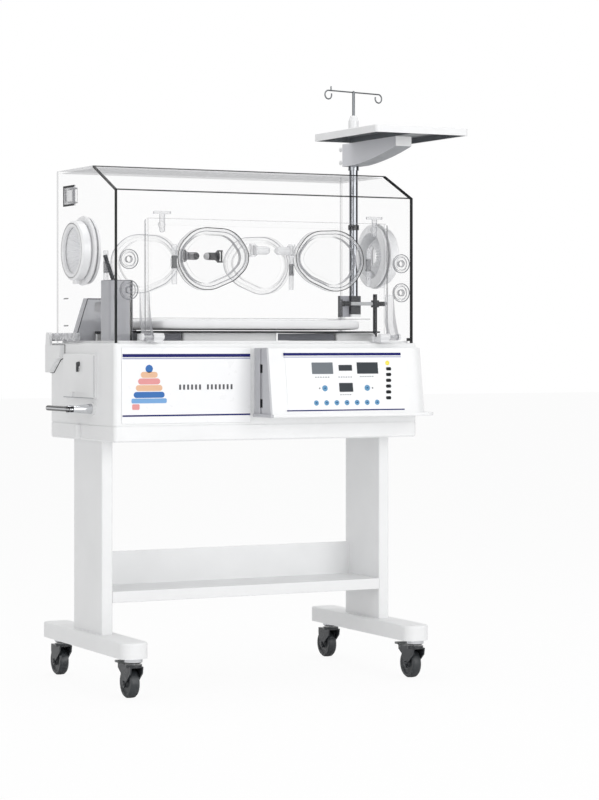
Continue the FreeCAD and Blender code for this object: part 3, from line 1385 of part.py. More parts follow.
def panel_hinge_bracket(side):
    """A barrel on a foot on the hood's front wall, with the pin through the arm."""
    axis_y, axis_z = dim.panel_hinge_y, dim.hinge_z
    barrel_length = ARM_INNER - BARREL_INNER - 0.5
    start = BARREL_INNER if side > 0 else -BARREL_INNER - barrel_length
    barrel = rod("x", start, axis_y, axis_z, 8.5, barrel_length)
    foot = block((start + 2.0, start + barrel_length - 2.0), (axis_y - 4.0, dim.hood_front),
                 (dim.cabinet_top + 2.5, axis_z - 3.0))
    flange = block((start - 6.0, start + barrel_length), (dim.hood_front - 4.0, dim.hood_front),
                   (dim.cabinet_top + 2.5, dim.panel_bottom - 3.0))
    pin_length = ARM_OUTER - ARM_INNER + 6.0
    pin_start = BARREL_INNER + barrel_length if side > 0 else -ARM_OUTER - 5.5
    pin = rod("x", pin_start, axis_y, axis_z, dim.hinge_pin / 2, pin_length)
    cap_start = ARM_OUTER + 0.5 if side > 0 else -ARM_OUTER - 6.5
    cap = rod("x", cap_start, axis_y, axis_z, 8.5, 6.0)
    return joined(barrel, foot, flange, pin, cap)


def panel_hinge_brackets():
    pieces = together(panel_hinge_bracket(-1), panel_hinge_bracket(1))
    return keep(pieces, "panel_hinge_brackets")


def panel_latch(label, side):
    """A turning T: its stem turns on the panel, its bar reaches over the wall above."""
    x = side * 303.0
    pivot_z = float(dim.panel_top) - 17.0
    face = FRONT_FACE
    stud = Part.makeCylinder(9.0, 5.0, Vector(x, face, pivot_z), Vector(0, -1, 0))
    stem = Part.makeBox(13.0, 5.0, 44.0, Vector(x - 6.5, face - 8.0, pivot_z - 13.0))
    tail = Part.makeCylinder(6.5, 5.0, Vector(x, face - 3.0, pivot_z - 13.0), Vector(0, -1, 0))
    bar = Part.makeBox(46.0, 7.0, 7.0, Vector(x - 23.0, face - 8.0, pivot_z + 27.0))
    bar = bar.makeFillet(2.0, [edge for edge in bar.Edges if abs(edge.tangentAt(0).y) > 0.99])
    shape = stud.fuse([stem, tail, bar]).removeSplitter()
    return keep(fixed_shape(label, shape), label)


# The accessory pole


def pole_bracket():
    """A bracket on the cabinet's rear, the clamp block, and a cross rail with a post."""
    rear = dim.cabinet_depth / 2
    plate = block((447.0, 482.0), (246.0, 254.0), (951.0, 1010.0))
    spine = block((447.0, 459.0), (232.0, 254.0), (700.0, 1000.0))
    shoe = block((400.0, 459.0), (rear, rear + 17.0), (700.0, 860.0))
    clamp = block((dim.pole_x - 15.0, dim.pole_x + 15.0), (dim.pole_y - 15.0, dim.pole_y + 15.0),
                  (dim.pole_foot, 1010.0))
    socket = rod("z", dim.pole_x, dim.pole_y, dim.pole_foot + 8.0, dim.pole_diameter / 2, 80.0)
    bracket = without(joined(plate, spine, shoe, clamp), socket)
    rail_y, rail_z = 226.0, 988.0
    rail = rod("x", 447.0, rail_y, rail_z, 5.0, 138.0)
    stub = rod("y", dim.pole_x, rail_y, rail_z, 4.0, 10.0)
    grips = [rod("x", start, rail_y, rail_z, 6.5, 24.0) for start in (447.0, 561.0)]
    post = rod("z", 551.0, rail_y, 893.0, 6.0, 122.0)
    joint = block((543.0, 559.0), (rail_y - 9.0, rail_y + 9.0), (rail_z - 10.0, rail_z + 10.0))
    return keep(joined(bracket, rail, stub, post, joint, *grips), "pole_bracket")


def pole_tube():
    """A steel tube with a collar and a white end cap that guides the hook rod."""
    bottom = dim.pole_foot + 8.0
    radius = dim.pole_diameter / 2
    tube = rod("z", dim.pole_x, dim.pole_y, bottom, radius, dim.pole_top - bottom)
    hollow = rod("z", dim.pole_x, dim.pole_y, bottom + 4.0, radius - 2.0, dim.pole_top - bottom)
    collar = rod("z", dim.pole_x, dim.pole_y, 1196.0, radius + 3.0, 14.0)
    cap_skirt = rod("z", dim.pole_x, dim.pole_y, 1462.0, radius + 2.5, 42.0)
    cap_top = taper("z", dim.pole_x, dim.pole_y, 1504.0, radius + 2.5, 9.0, 15.0)
    guide = rod("z", dim.pole_x, dim.pole_y, 1450.0, 4.0 + dim.fit_gap, 80.0)
    thrust_ring = rod("z", dim.pole_x, dim.pole_y, 1364.0, radius + 3.0, 11.0)
    plug = rod("z", dim.pole_x, dim.pole_y, 1470.0, radius - 1.0, 34.0)
    shell = joined(without(joined(tube, collar, thrust_ring), hollow), cap_skirt, cap_top, plug)
    return keep(without(shell, guide), "pole_tube")


def tray_arm():
    """The arm under the tray: a sleeve on the pole, and a deep rib that thins forward."""
    width = 49.0
    x = float(dim.pole_x)
    y = float(dim.pole_y)
    top = float(dim.tray_bottom)
    left = x - width / 2
    rear, tip = y + 26.0, -35.0
    sleeve_front = y - 26.0
    low = 1376.0
    corner = [Vector(left, sleeve_front, top), Vector(left, tip, top),
              Vector(left, tip, top - 26.0), Vector(left, 205.0, low),
              Vector(left, sleeve_front, low)]
    belly = Part.Arc(corner[2], Vector(left, 92.0, low + 12.0), corner[3]).toShape()
    edges = [
        Part.LineSegment(corner[0], corner[1]).toShape(),
        Part.LineSegment(corner[1], corner[2]).toShape(),
        belly,
        Part.LineSegment(corner[3], corner[4]).toShape(),
        Part.LineSegment(corner[4], corner[0]).toShape(),
    ]
    beam = Part.Face(Part.Wire(edges)).extrude(Vector(width, 0, 0))
    sleeve = Part.makeBox(width, rear - sleeve_front, top - low, Vector(left, sleeve_front, low))
    sleeve = sleeve.makeFillet(6.0, [edge for edge in sleeve.Edges
                                     if abs(edge.tangentAt(edge.FirstParameter).z) > 0.99
                                     and abs(edge.Vertexes[0].Point.y - rear) < 0.1])
    bore = Part.makeCylinder(float(dim.pole_diameter) / 2 + float(dim.fit_gap), 90.0,
                             Vector(x, y, low - 5.0))
    sleeve = sleeve.cut(bore)
    screws = []
    for z in (low + 14.0, low + 48.0):
        shank = Part.makeCylinder(4.0, 12.0, Vector(x, rear - 10.0, z), Vector(0, 1, 0))
        knob = Part.makeCylinder(8.5, 9.0, Vector(x, rear + 2.0, z), Vector(0, 1, 0))
        sleeve = sleeve.cut(shank)
        screws.append(shank.fuse(knob).removeSplitter())
    shape = Part.makeCompound([beam, sleeve] + screws)
    return keep(fixed_shape("tray_arm", shape), "tray_arm")


def monitor_tray():
    """A flat tray, hollow below, with a flat rib where the arm is bolted."""
    body = new_body("monitor_tray")
    slab = prism(body, "XY_Plane", rectangle(dim.tray_left, dim.tray_right,
                                             dim.tray_front, dim.tray_rear),
                 dim.tray_bottom, dim.tray_thickness)
    slab = rounded(body, slab, 10.0, upright)
    rounded(body, slab, 2.5,
            lambda at, way: at.z > float(dim.tray_bottom + dim.tray_thickness) - 0.1)
    rim = 6.0
    rib_half = 28.0
    hollow_depth = dim.tray_thickness - 5.0
    for left, right in ((dim.tray_left + rim, dim.pole_x - rib_half),
                        (dim.pole_x + rib_half, dim.tray_right - rim)):
        prism(body, "XY_Plane", rectangle(left, right, dim.tray_front + rim, dim.tray_rear - rim),
              dim.tray_bottom, hollow_depth, cutting=True)
    return keep(body, "monitor_tray")


def iv_hook():
    """A rod that slides in the pole, with a bar across it that curls to a loop each end."""
    wire_radius = 2.0
    loop_radius = 12.0
    half = float(dim.hook_span) / 2 - loop_radius
    top = float(dim.hook_height)
    rod_radius = 4.0
    stem = Part.makeCylinder(rod_radius, top - 1330.0, Vector(0, 0, 1330.0))
    neck = Part.makeCone(rod_radius, wire_radius + 0.5, 8.0, Vector(0, 0, top - 4.0))
    curl = math.radians(290.0)
    low = top - loop_radius

    def on_loop(way, angle):
        return Vector(way * (half + loop_radius * math.sin(angle)), 0,
                      low + loop_radius * math.cos(angle))

    path = Part.Wire([
        Part.Arc(on_loop(-1, curl), on_loop(-1, curl / 2), on_loop(-1, 0.0)).toShape(),
        Part.LineSegment(on_loop(-1, 0.0), on_loop(1, 0.0)).toShape(),
        Part.Arc(on_loop(1, 0.0), on_loop(1, curl / 2), on_loop(1, curl)).toShape(),
    ])
    start_way = path.Edges[0].tangentAt(path.Edges[0].FirstParameter)
    section = Part.Wire(Part.Circle(on_loop(-1, curl), start_way, wire_radius).toShape())
    bar = path.makePipeShell([section], True, True)
    tip = Part.makeCylinder(wire_radius, 12.0, Vector(-half + 10.0, 0, top))
    hook = stem.fuse([neck, bar, tip]).removeSplitter()
    hook.rotate(Vector(), Vector(0, 0, 1), 12.0)
    return keep(fixed_shape("iv_hook", hook), "iv_hook", dim.pole_x, dim.pole_y, 0.0)


base_tray()
cabinet_shell()
front_fascia()
controller_housing()
controller_membrane()
filter_cover()
filter_knob()
air_filter()
tilt_lever()
fan_motor()
fan_impeller()
heater()
water_tank()
chamber_base()
air_duct_covers()
bed_deck()
bed_tray()
mattress()
canopy()
canopy_hinge_arms()
canopy_hinge_brackets()
access_grommets()
iris_flanges()
iris_ring("iris_ring_left", -1)
iris_ring("iris_ring_right", 1)
iris_sleeves()
front_panel()
panel_hinge_arms()
panel_hinge_brackets()
panel_latch("panel_latch_left", -1)
panel_latch("panel_latch_right", 1)
for wall_name, wall_face, outward in (("front", FRONT_FACE, -1), ("rear", REAR_FACE, 1)):
    port_rims(f"{wall_name}_port_rims", wall_face, outward)
    for hand, side in (("left", -1), ("right", 1)):
        port_door(f"port_door_{wall_name}_{hand}", side, wall_face, outward)
        port_latch(f"port_latch_{wall_name}_{hand}", side, wall_face, outward)
pole_bracket()
pole_tube()
tray_arm()
monitor_tray()
iv_hook()


# Writing the pieces


def write_parts():
    """Check every object and every sub-part's solid, then write one file for each."""
    doc.recompute()
    failed = [f"{obj.Name} in {[owner.Label for owner in obj.InListRecursive]}"
              for obj in doc.Objects if {"Invalid", "Error"} & set(obj.State)]
    if failed:
        raise RuntimeError(f"failed objects: {failed}")
    for label, obj in nodes.items():
        if obj.Shape.isNull() or not obj.Shape.isValid() or not obj.Shape.Solids:
            raise RuntimeError(f"bad shape: {label}")
    os.makedirs("parts", exist_ok=True)
    for label, obj in nodes.items():
        obj.Shape.exportStep(f"parts/{label}.step")
    print(len(nodes), "sub-parts written")


write_parts()
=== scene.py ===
import math

import bmesh
import bpy
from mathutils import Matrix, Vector


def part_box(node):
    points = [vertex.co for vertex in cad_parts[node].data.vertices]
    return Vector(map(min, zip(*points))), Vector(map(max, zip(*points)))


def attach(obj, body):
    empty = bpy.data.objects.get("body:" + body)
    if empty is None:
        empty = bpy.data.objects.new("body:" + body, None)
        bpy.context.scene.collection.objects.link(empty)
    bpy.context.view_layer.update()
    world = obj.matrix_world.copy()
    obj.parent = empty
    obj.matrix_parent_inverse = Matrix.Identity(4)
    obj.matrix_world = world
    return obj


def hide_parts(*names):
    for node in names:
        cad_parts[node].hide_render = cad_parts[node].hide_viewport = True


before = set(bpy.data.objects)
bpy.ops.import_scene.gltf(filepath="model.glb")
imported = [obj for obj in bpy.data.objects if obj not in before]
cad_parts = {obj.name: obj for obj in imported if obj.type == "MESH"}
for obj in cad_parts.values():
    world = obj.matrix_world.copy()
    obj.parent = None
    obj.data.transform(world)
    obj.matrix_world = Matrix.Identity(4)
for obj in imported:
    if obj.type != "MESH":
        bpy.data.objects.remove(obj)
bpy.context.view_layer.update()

# The frame is in metres. Sizes here are in millimetres, and MM, at() and Plane.point() turn
# them into metres. Places are given from the middle of the cabinet at floor level, which the
# hood's own box gives.

MM = 0.001
HOOD_FRONT = -206.0
hood_low, hood_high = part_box("canopy")
MIDDLE = Vector(((hood_low.x + hood_high.x) / 2, hood_low.y - HOOD_FRONT * MM, 0.0))


def at(x, y, z):
    """A point in millimetres from the cabinet's middle, as a point of the frame."""
    return MIDDLE + Vector((x, y, z)) * MM


# Materials


class Surface:
    """A Principled material whose pattern is fixed to the object's own coordinates."""

    def __init__(self, name, colour, roughness, metallic=0.0):
        self.material = bpy.data.materials.new(name)
        self.material.use_nodes = True
        self.tree = self.material.node_tree
        self.shader = self.tree.nodes["Principled BSDF"]
        self.coordinates = self.node("TexCoord")
        self.place = self.coordinates.outputs["Object"]
        self.colour = self.constant(colour)
        self.shader.inputs["Roughness"].default_value = roughness
        self.shader.inputs["Metallic"].default_value = metallic
        self.roughness = roughness

    def node(self, kind):
        return self.tree.nodes.new(f"ShaderNode{kind}")

    def link(self, source, target):
        self.tree.links.new(source, target)

    def constant(self, colour):
        rgb = self.node("RGB")
        rgb.outputs[0].default_value = (*colour, 1.0)
        return rgb.outputs[0]

    def noise(self, scale, detail=3.0):
        noise = self.node("TexNoise")
        noise.inputs["Scale"].default_value = scale
        noise.inputs["Detail"].default_value = detail
        self.link(self.place, noise.inputs["Vector"])
        return noise.outputs["Fac"]

    def remap(self, value, start, end, low, high):
        """Turn the range from start to end into the one from low to high."""
        ramp = self.node("MapRange")
        for socket, number in (("From Min", start), ("From Max", end),
                               ("To Min", low), ("To Max", high)):
            ramp.inputs[socket].default_value = number
        self.link(value, ramp.inputs["Value"])
        return ramp.outputs["Result"]

    def curve(self, value, stops):
        """Follow straight lines through pairs of position and level."""
        ramp = self.node("ValToRGB")
        elements = ramp.color_ramp.elements
        for position, level in stops[1:-1]:
            elements.new(position).color = (level, level, level, 1.0)
        for element, (position, level) in ((elements[0], stops[0]), (elements[-1], stops[-1])):
            element.position = position
            element.color = (level, level, level, 1.0)
        self.link(value, ramp.inputs["Fac"])
        return ramp.outputs["Color"]

    def mixed(self, share, first, second):
        mix = self.node("Mix")
        mix.data_type = "RGBA"
        self.link(share, mix.inputs["Factor"])
        self.link(first, mix.inputs["A"])
        self.link(second, mix.inputs["B"])
        return mix.outputs["Result"]

    def maths(self, operation, *values):
        node = self.node("Math")
        node.operation = operation
        for socket, value in zip(node.inputs, values):
            if isinstance(value, (int, float)):
                socket.default_value = value
            else:
                self.link(value, socket)
        return node.outputs[0]

    def glancing(self):
        """0 where the surface is seen square on, 1 where it is seen along its face."""
        weight = self.node("LayerWeight")
        weight.inputs["Blend"].default_value = 0.5
        return weight.outputs["Facing"]

    def axis(self, letter):
        """The place along one axis, in millimetres from the cabinet's middle."""
        split = self.node("SeparateXYZ")
        self.link(self.place, split.inputs[0])
        shift = getattr(MIDDLE, letter.lower())
        return self.maths("MULTIPLY", self.maths("SUBTRACT", split.outputs[letter], shift), 1000.0)

    def between(self, value, low, high):
        above = self.maths("GREATER_THAN", value, low)
        below = self.maths("LESS_THAN", value, high)
        return self.maths("MULTIPLY", above, below)

    def zone(self, **limits):
        """1 inside a box: X, Y or Z with its low and high limit, in millimetres."""
        share = None
        for letter, (low, high) in limits.items():
            inside = self.between(self.axis(letter), low, high)
            share = inside if share is None else self.maths("MULTIPLY", share, inside)
        return share

    def near_line(self, start, end, reach):
        """1 within reach of a line that runs from one Y, Z place to another."""
        run, rise = end[0] - start[0], end[1] - start[1]
        length = math.hypot(run, rise)
        across = self.maths("MULTIPLY", self.maths("SUBTRACT", self.axis("Y"), start[0]),
                            -rise / length)
        along = self.maths("MULTIPLY", self.maths("SUBTRACT", self.axis("Z"), start[1]),
                           run / length)
        offset = self.maths("ABSOLUTE", self.maths("ADD", across, along))
        return self.maths("LESS_THAN", offset, reach)

    def paint(self, share, colour):
        """Lay another colour over the part of the surface where share is 1."""
        self.colour = self.mixed(share, self.colour, self.constant(colour))

    def paint_shade_below(self, colour, slope=-0.3):
        """Painted shade: another colour on the faces that look down."""
        split = self.node("SeparateXYZ")
        self.link(self.coordinates.outputs["Normal"], split.inputs[0])
        self.paint(self.maths("LESS_THAN", split.outputs["Z"], slope), colour)

    def matt(self, share):
        """Where share is 1 the surface is plastic and not metal."""
        self.link(self.maths("SUBTRACT", 1.0, share), self.shader.inputs["Metallic"])

    def worn(self, scale, spread):
        """Roughness that varies a little over the surface."""
        low = max(0.02, self.roughness - spread)
        self.link(self.remap(self.noise(scale, 4.0), 0.3, 0.7, low, self.roughness + spread),
                  self.shader.inputs["Roughness"])

    def grained(self, scale, height, strength=0.3):
        """Fine relief from noise."""
        bump = self.node("Bump")
        bump.inputs["Strength"].default_value = strength
        bump.inputs["Distance"].default_value = height
        self.link(self.noise(scale, 2.0), bump.inputs["Height"])
        self.link(bump.outputs["Normal"], self.shader.inputs["Normal"])

    def done(self, tone=0.035, tone_scale=9.0):
        """Join the colour, with its unevenness, to the shader."""
        shade = self.remap(self.noise(tone_scale), 0.3, 0.7, 1.0 - tone, 1.0)
        scaled = self.node("VectorMath")
        scaled.operation = "SCALE"
        self.link(self.colour, scaled.inputs[0])
        self.link(shade, scaled.inputs["Scale"])
        self.link(scaled.outputs[0], self.shader.inputs["Base Color"])
        return self.material


WEAR_SCALE = 22.0
MATT = 0.12


def rigid(name, colour, roughness, metallic=0.0, spread=0.06, grain=0.0, grain_scale=900.0,
          mirror=0.5):
    """A rigid surface, still open to paint: uneven gloss and a fine grain."""
    surface = Surface(name, colour, roughness, metallic)
    surface.shader.inputs["Specular IOR Level"].default_value = mirror
    surface.worn(WEAR_SCALE, spread)
    if grain:
        surface.grained(grain_scale, grain)
    return surface


def plain(name, colour, roughness, tone=0.035, tone_scale=9.0, **finish):
    return rigid(name, colour, roughness, **finish).done(tone, tone_scale)


def painted(name, colour, roughness, areas, **finish):
    """One surface with areas of another colour inside boxes of the object."""
    surface = rigid(name, colour, roughness, **finish)
    for limits, other in areas:
        surface.paint(surface.zone(**limits), other)
    return surface.done()


def clear(name, colour, stops, areas=(), lines=(), roughness=0.08, mirror=0.5):
    """See-through plastic. Stops pair how glancing the view is with how solid the face looks.

    An area is a box of the object with its own colour and least solidity, and a line is one
    along the hood's slanted edge, within a box.
    """
    surface = Surface(name, colour, roughness)
    surface.shader.inputs["Specular IOR Level"].default_value = mirror
    share = surface.curve(surface.glancing(), stops)
    spots = [(surface.zone(**limits), tone, solid) for limits, tone, solid in areas]
    for limits, start, end, reach, tone, solid in lines:
        near = surface.maths("MULTIPLY", surface.zone(**limits),
                             surface.near_line(start, end, reach))
        spots.append((near, tone, solid))
    for spot, tone, solid in spots:
        surface.paint(spot, tone)
        share = surface.maths("MAXIMUM", share, surface.maths("MULTIPLY", spot, solid))
    surface.link(share, surface.shader.inputs["Alpha"])
    return surface.done(tone=0.01)


WHITE = (0.86, 0.865, 0.87)
SMOOTH_WHITE = (0.87, 0.875, 0.885)
NAVY = (0.012, 0.014, 0.13)
INK_BLACK = (0.008, 0.009, 0.011)
EDGE_BLACK = (0.004, 0.005, 0.006)

powder_coat = plain("powder_coat", WHITE, 0.42, spread=0.07, grain=0.00012)
moulded_white = plain("moulded_white", WHITE, 0.34, grain=0.00006, grain_scale=1500.0)
smooth_white = plain("smooth_white", SMOOTH_WHITE, 0.25, spread=0.05)
printed_white = plain("printed_white", SMOOTH_WHITE, 0.3, tone=0.015, spread=0.04)
pedal_grey = plain("pedal_grey", (0.2, 0.21, 0.21), 0.35, grain=0.00006)
dark_plastic = plain("dark_plastic", (0.03, 0.033, 0.037), 0.3, grain=0.0001)
black_edge = plain("black_edge", INK_BLACK, 0.4, spread=0.05, mirror=MATT)
grey_edge = plain("grey_edge", (0.1, 0.105, 0.12), 0.4, spread=0.05)
pale_edge = plain("pale_edge", (0.34, 0.345, 0.37), 0.4, spread=0.05)
chrome = plain("chrome", (0.62, 0.63, 0.65), 0.1, metallic=1.0, spread=0.04)
hook_wire = plain("hook_wire", (0.2, 0.21, 0.22), 0.3, metallic=1.0)
brushed_steel = plain("brushed_steel", (0.45, 0.45, 0.45), 0.36, metallic=1.0, spread=0.1)
motor_case = plain("motor_case", (0.5, 0.5, 0.5), 0.4, metallic=1.0, grain=0.0001)
tyre_rubber = plain("tyre_rubber", (0.032, 0.036, 0.04), 0.36, tone=0.2, spread=0.1,
                    grain=0.0002, grain_scale=600.0)
filter_paper = plain("filter_paper", (0.78, 0.76, 0.68), 0.9, grain=0.0002)
arm_casting = plain("arm_casting", (0.78, 0.785, 0.81), 0.5, tone=0.55, tone_scale=160.0,
                    grain=0.0004, grain_scale=260.0)
shadow_grey = plain("shadow_grey", (0.16, 0.165, 0.19), 0.5)
latch_dark = plain("latch_dark", (0.06, 0.062, 0.065), 0.35)

# The tray and its arm are white, with painted shade grey below, where little light reaches; on the
# tray it also fills the hollow inside the rim

tray_low, tray_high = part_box("monitor_tray")
HOLLOW_TOP = tray_high.z / MM - 4.5
RIM = 5.5
tray_surface = rigid("tray_white", WHITE, 0.34, grain=0.00006, grain_scale=1500.0)
TRAY_LEFT, TRAY_FRONT = (tray_low.x - MIDDLE.x) / MM, (tray_low.y - MIDDLE.y) / MM
TRAY_RIGHT, TRAY_REAR = (tray_high.x - MIDDLE.x) / MM, (tray_high.y - MIDDLE.y) / MM
# Painted shade: dark grey inside the tray's rim, below its top
tray_hollow_shade = tray_surface.zone(X=(TRAY_LEFT + RIM, TRAY_RIGHT - RIM),
                           Y=(TRAY_FRONT + RIM, TRAY_REAR - RIM), Z=(0.0, HOLLOW_TOP))
tray_surface.paint(tray_hollow_shade, (0.13, 0.14, 0.15))
tray_white = tray_surface.done()
arm_surface = rigid("arm_white", (0.72, 0.725, 0.76), 0.42, spread=0.07, grain=0.00012)
# Painted shade: grey on the arm's faces that look down
arm_surface.paint_shade_below((0.3, 0.31, 0.33))
ARM_NOSE = (-36.0, -34.0)
arm_surface.paint(arm_surface.zone(Y=ARM_NOSE), WHITE)
arm_white = arm_surface.done()

# The pole: polished steel below a white plastic cap, with a black collar

CAP_FROM = 1461.0
COLLAR = (1195.0, 1211.0)
pole_surface = rigid("pole_steel", (0.3, 0.31, 0.33), 0.14, metallic=1.0, spread=0.04)
cap_share = pole_surface.zone(Z=(CAP_FROM, 1600.0))
collar_share = pole_surface.zone(Z=COLLAR)
pole_surface.paint(cap_share, WHITE)
pole_surface.paint(collar_share, INK_BLACK)
pole_surface.matt(pole_surface.maths("ADD", cap_share, collar_share))
pole_steel = pole_surface.done()

# The pole's bracket: a clamp block with painted shade in its recesses, and a cross rail with dark
# ends

CLAMP_SHADE = (0.36, 0.365, 0.4)
CLAMP_HEIGHTS = (950.0, 1011.0)
RAIL = {"Y": (218.0, 233.0), "Z": (980.0, 996.0)}
bracket_grey = painted("bracket_grey", WHITE, 0.4, [
    # Painted shade: the grey areas are shade in the clamp block's recesses
    ({"X": (459.5, 483.0), "Y": (245.0, 255.0), "Z": CLAMP_HEIGHTS}, CLAMP_SHADE),
    ({"X": (446.0, 459.5), "Y": (231.0, 255.0), "Z": CLAMP_HEIGHTS}, CLAMP_SHADE),
    ({"X": (446.0, 450.5), "Z": CLAMP_HEIGHTS}, (0.04, 0.042, 0.048)),
    ({"X": (479.0, 511.0), "Y": (234.0, 266.0), "Z": (958.0, 1011.0)}, (0.02, 0.022, 0.026)),
    ({"X": (460.0, 586.0), **RAIL}, (0.5, 0.51, 0.52)),
    ({"X": (446.0, 471.3), **RAIL}, INK_BLACK),
    ({"X": (560.8, 586.0), **RAIL}, INK_BLACK),
    ({"X": (542.0, 560.0), "Y": (216.0, 236.0), "Z": (892.0, 1016.0)}, INK_BLACK),
])

# The lever's bright grip: dark bands painted above and below its middle are a painted reflection,
# as if its round faces mirrored a dark room

lever_low, lever_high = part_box("tilt_lever")
GRIP_HALF = 7.0
LEVER_Z = (lever_low.z + lever_high.z) / 2 / MM
lever_surface = rigid("lever_chrome_painted_reflection", (0.66, 0.67, 0.69), 0.1, metallic=1.0, spread=0.04)
# Painted reflection: a dark band on the grip's upper and lower round faces
for low, high in ((LEVER_Z + 1.4, LEVER_Z + GRIP_HALF), (LEVER_Z - GRIP_HALF, LEVER_Z - 2.4)):
    lever_surface.paint(lever_surface.zone(X=(-504.0, -488.0), Z=(low, high)), EDGE_BLACK)
lever_chrome_painted_reflection = lever_surface.done()

# Acrylic sheets of the hood: its front corners, shoulder and roof edges show dark

HALF = (hood_high.x - hood_low.x) / 2 / MM
ROOF = hood_high.z / MM
SHOULDER = 1259.5
ROOF_FRONT = -59.0
EDGE = 5.0
RIGHT_EDGE = 7.0
FRONT = (HOOD_FRONT - 1.0, HOOD_FRONT + EDGE)
LEFT = (-HALF - 1.0, -HALF + EDGE)
RIGHT = (HALF - RIGHT_EDGE, HALF + 1.0)
SLANT = ((HOOD_FRONT, SHOULDER), (ROOF_FRONT, ROOF))
BESIDE_SLANT = (HOOD_FRONT - 1.0, ROOF_FRONT + 1.0)
FAINT = (0.3, 0.3, 0.32)
HOLE_GREY = (0.1, 0.1, 0.11)
SHEET_TONE = (0.42, 0.425, 0.455)
HOLE = {"X": (-426.0, -424.5), "Y": (107.0, 140.0)}
SHEET_STOPS = ((0.0, 0.008), (0.8, 0.02), (0.92, 0.6), (1.0, 0.66))
hood_areas = [
    ({"X": LEFT, "Y": FRONT}, EDGE_BLACK, 1.0),
    ({"X": RIGHT, "Y": FRONT}, EDGE_BLACK, 1.0),
    ({"Y": (HOOD_FRONT - 1.0, HOOD_FRONT + 6.5), "Z": (SHOULDER - 2.0, SHOULDER + 1.6)},
     EDGE_BLACK, 0.85),
    ({"Y": (ROOF_FRONT - 9.0, ROOF_FRONT + 1.5), "Z": (ROOF - 2.8, ROOF + 1.0)},
     EDGE_BLACK, 0.85),
    ({"X": LEFT, "Y": (185.0, 190.0)}, FAINT, 0.3),
    ({"X": RIGHT, "Y": (185.0, 190.0)}, FAINT, 0.2),
    ({"X": (406.0, 421.5), "Y": FRONT, "Z": (882.5, 890.5)}, EDGE_BLACK, 0.97),
    ({**HOLE, "Z": (991.0, 994.5)}, HOLE_GREY, 0.8),
    ({**HOLE, "Z": (920.5, 924.0)}, HOLE_GREY, 0.8),
]
hood_lines = [({"X": side, "Y": BESIDE_SLANT}, *SLANT, EDGE, EDGE_BLACK, 0.95)
              for side in (LEFT, RIGHT)]
acrylic_hood = clear("acrylic_hood", SHEET_TONE, SHEET_STOPS, hood_areas, hood_lines,
                     mirror=0.1)

PANEL_EDGE = 346.5
panel_areas = []
for side in (-1.0, 1.0):
    for start, end, solid in ((PANEL_EDGE - 1.7, PANEL_EDGE + 0.1, 0.6),
                              (PANEL_EDGE - 9.4, PANEL_EDGE - 8.0, 0.35)):
        low, high = sorted((side * start, side * end))
        panel_areas.append(({"X": (low, high)}, (0.16, 0.165, 0.18), solid))
panel_areas.append(({"Z": (1188.4, 1190.5)}, FAINT, 0.25))
acrylic_panel = clear("acrylic_panel", SHEET_TONE, SHEET_STOPS, panel_areas)

TRAY_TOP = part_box("bed_tray")[1].z / MM
MIST = (0.5, 0.505, 0.53)
acrylic_tray = clear("acrylic_tray", MIST, ((0.0, 0.01), (0.9, 0.02), (1.0, 0.1)),
                     [({"Z": (TRAY_TOP - 1.4, TRAY_TOP + 0.2)}, (0.2, 0.2, 0.22), 0.4)])

# Moulded clear parts look grey where their walls are seen along their faces

MOULDED_STOPS = ((0.0, 0.02), (0.18, 0.05), (0.5, 0.5), (0.8, 0.85), (1.0, 0.92))
TONE = (0.34, 0.345, 0.37)
DOOR_FRONT = -228.4
DOOR_REAR = 205.9
door_front_area = [({"Y": (DOOR_FRONT - 0.2, DOOR_FRONT + 0.4)}, (0.62, 0.625, 0.64), 0.3)]
door_rear_area = [({"Y": (DOOR_REAR - 0.4, DOOR_REAR + 0.2)}, (0.62, 0.625, 0.64), 0.12)]
DOOR_STOPS = ((0.0, 0.02), (0.18, 0.04), (0.5, 0.32), (0.8, 0.65), (1.0, 0.85))
REAR_STOPS = ((0.0, 0.01), (0.3, 0.03), (0.5, 0.16), (0.8, 0.32), (1.0, 0.5))
acrylic_door = clear("acrylic_door", TONE, DOOR_STOPS, door_front_area)
acrylic_door_rear = clear("acrylic_door_rear", TONE, REAR_STOPS, door_rear_area)
HOUSING = 62.0
front_rims = clear("rim_clear", TONE, MOULDED_STOPS,
                   [({"X": (-HOUSING, HOUSING)}, (0.74, 0.745, 0.76), 0.55)])
rear_rims = clear("rim_clear_rear", TONE, REAR_STOPS, [
    ({"X": (-HOUSING, -30.0)}, (0.24, 0.24, 0.25), 0.97),
    ({"X": (-30.0, 0.0)}, (0.035, 0.036, 0.04), 0.97),
    ({"X": (0.0, 18.5)}, (0.55, 0.55, 0.56), 0.9),
    ({"X": (18.5, HOUSING)}, (0.02, 0.021, 0.024), 0.97),
])
TRANSLUCENT_STOPS = ((0.0, 0.22), (0.18, 0.28), (0.5, 0.7), (1.0, 0.95))
clear_moulding = clear("clear_moulding", MIST, TRANSLUCENT_STOPS)
arm_clear = clear("arm_clear", MIST, ((0.0, 0.14), (0.2, 0.22), (0.5, 0.6), (1.0, 0.92)))
bracket_clear = clear("bracket_clear", (0.84, 0.845, 0.86),
                      ((0.0, 0.75), (0.6, 0.9), (1.0, 1.0)))
LATCH_BLOCK = (1064.0, 1096.0)
LATCH_TONE = (0.62, 0.625, 0.65)
latch_left = clear("latch_left", LATCH_TONE, TRANSLUCENT_STOPS,
                   [({"Z": LATCH_BLOCK}, (0.06, 0.065, 0.07), 0.85)])
latch_right = clear("latch_right", LATCH_TONE, TRANSLUCENT_STOPS,
                    [({"Z": LATCH_BLOCK}, (0.2, 0.205, 0.22), 0.6)])
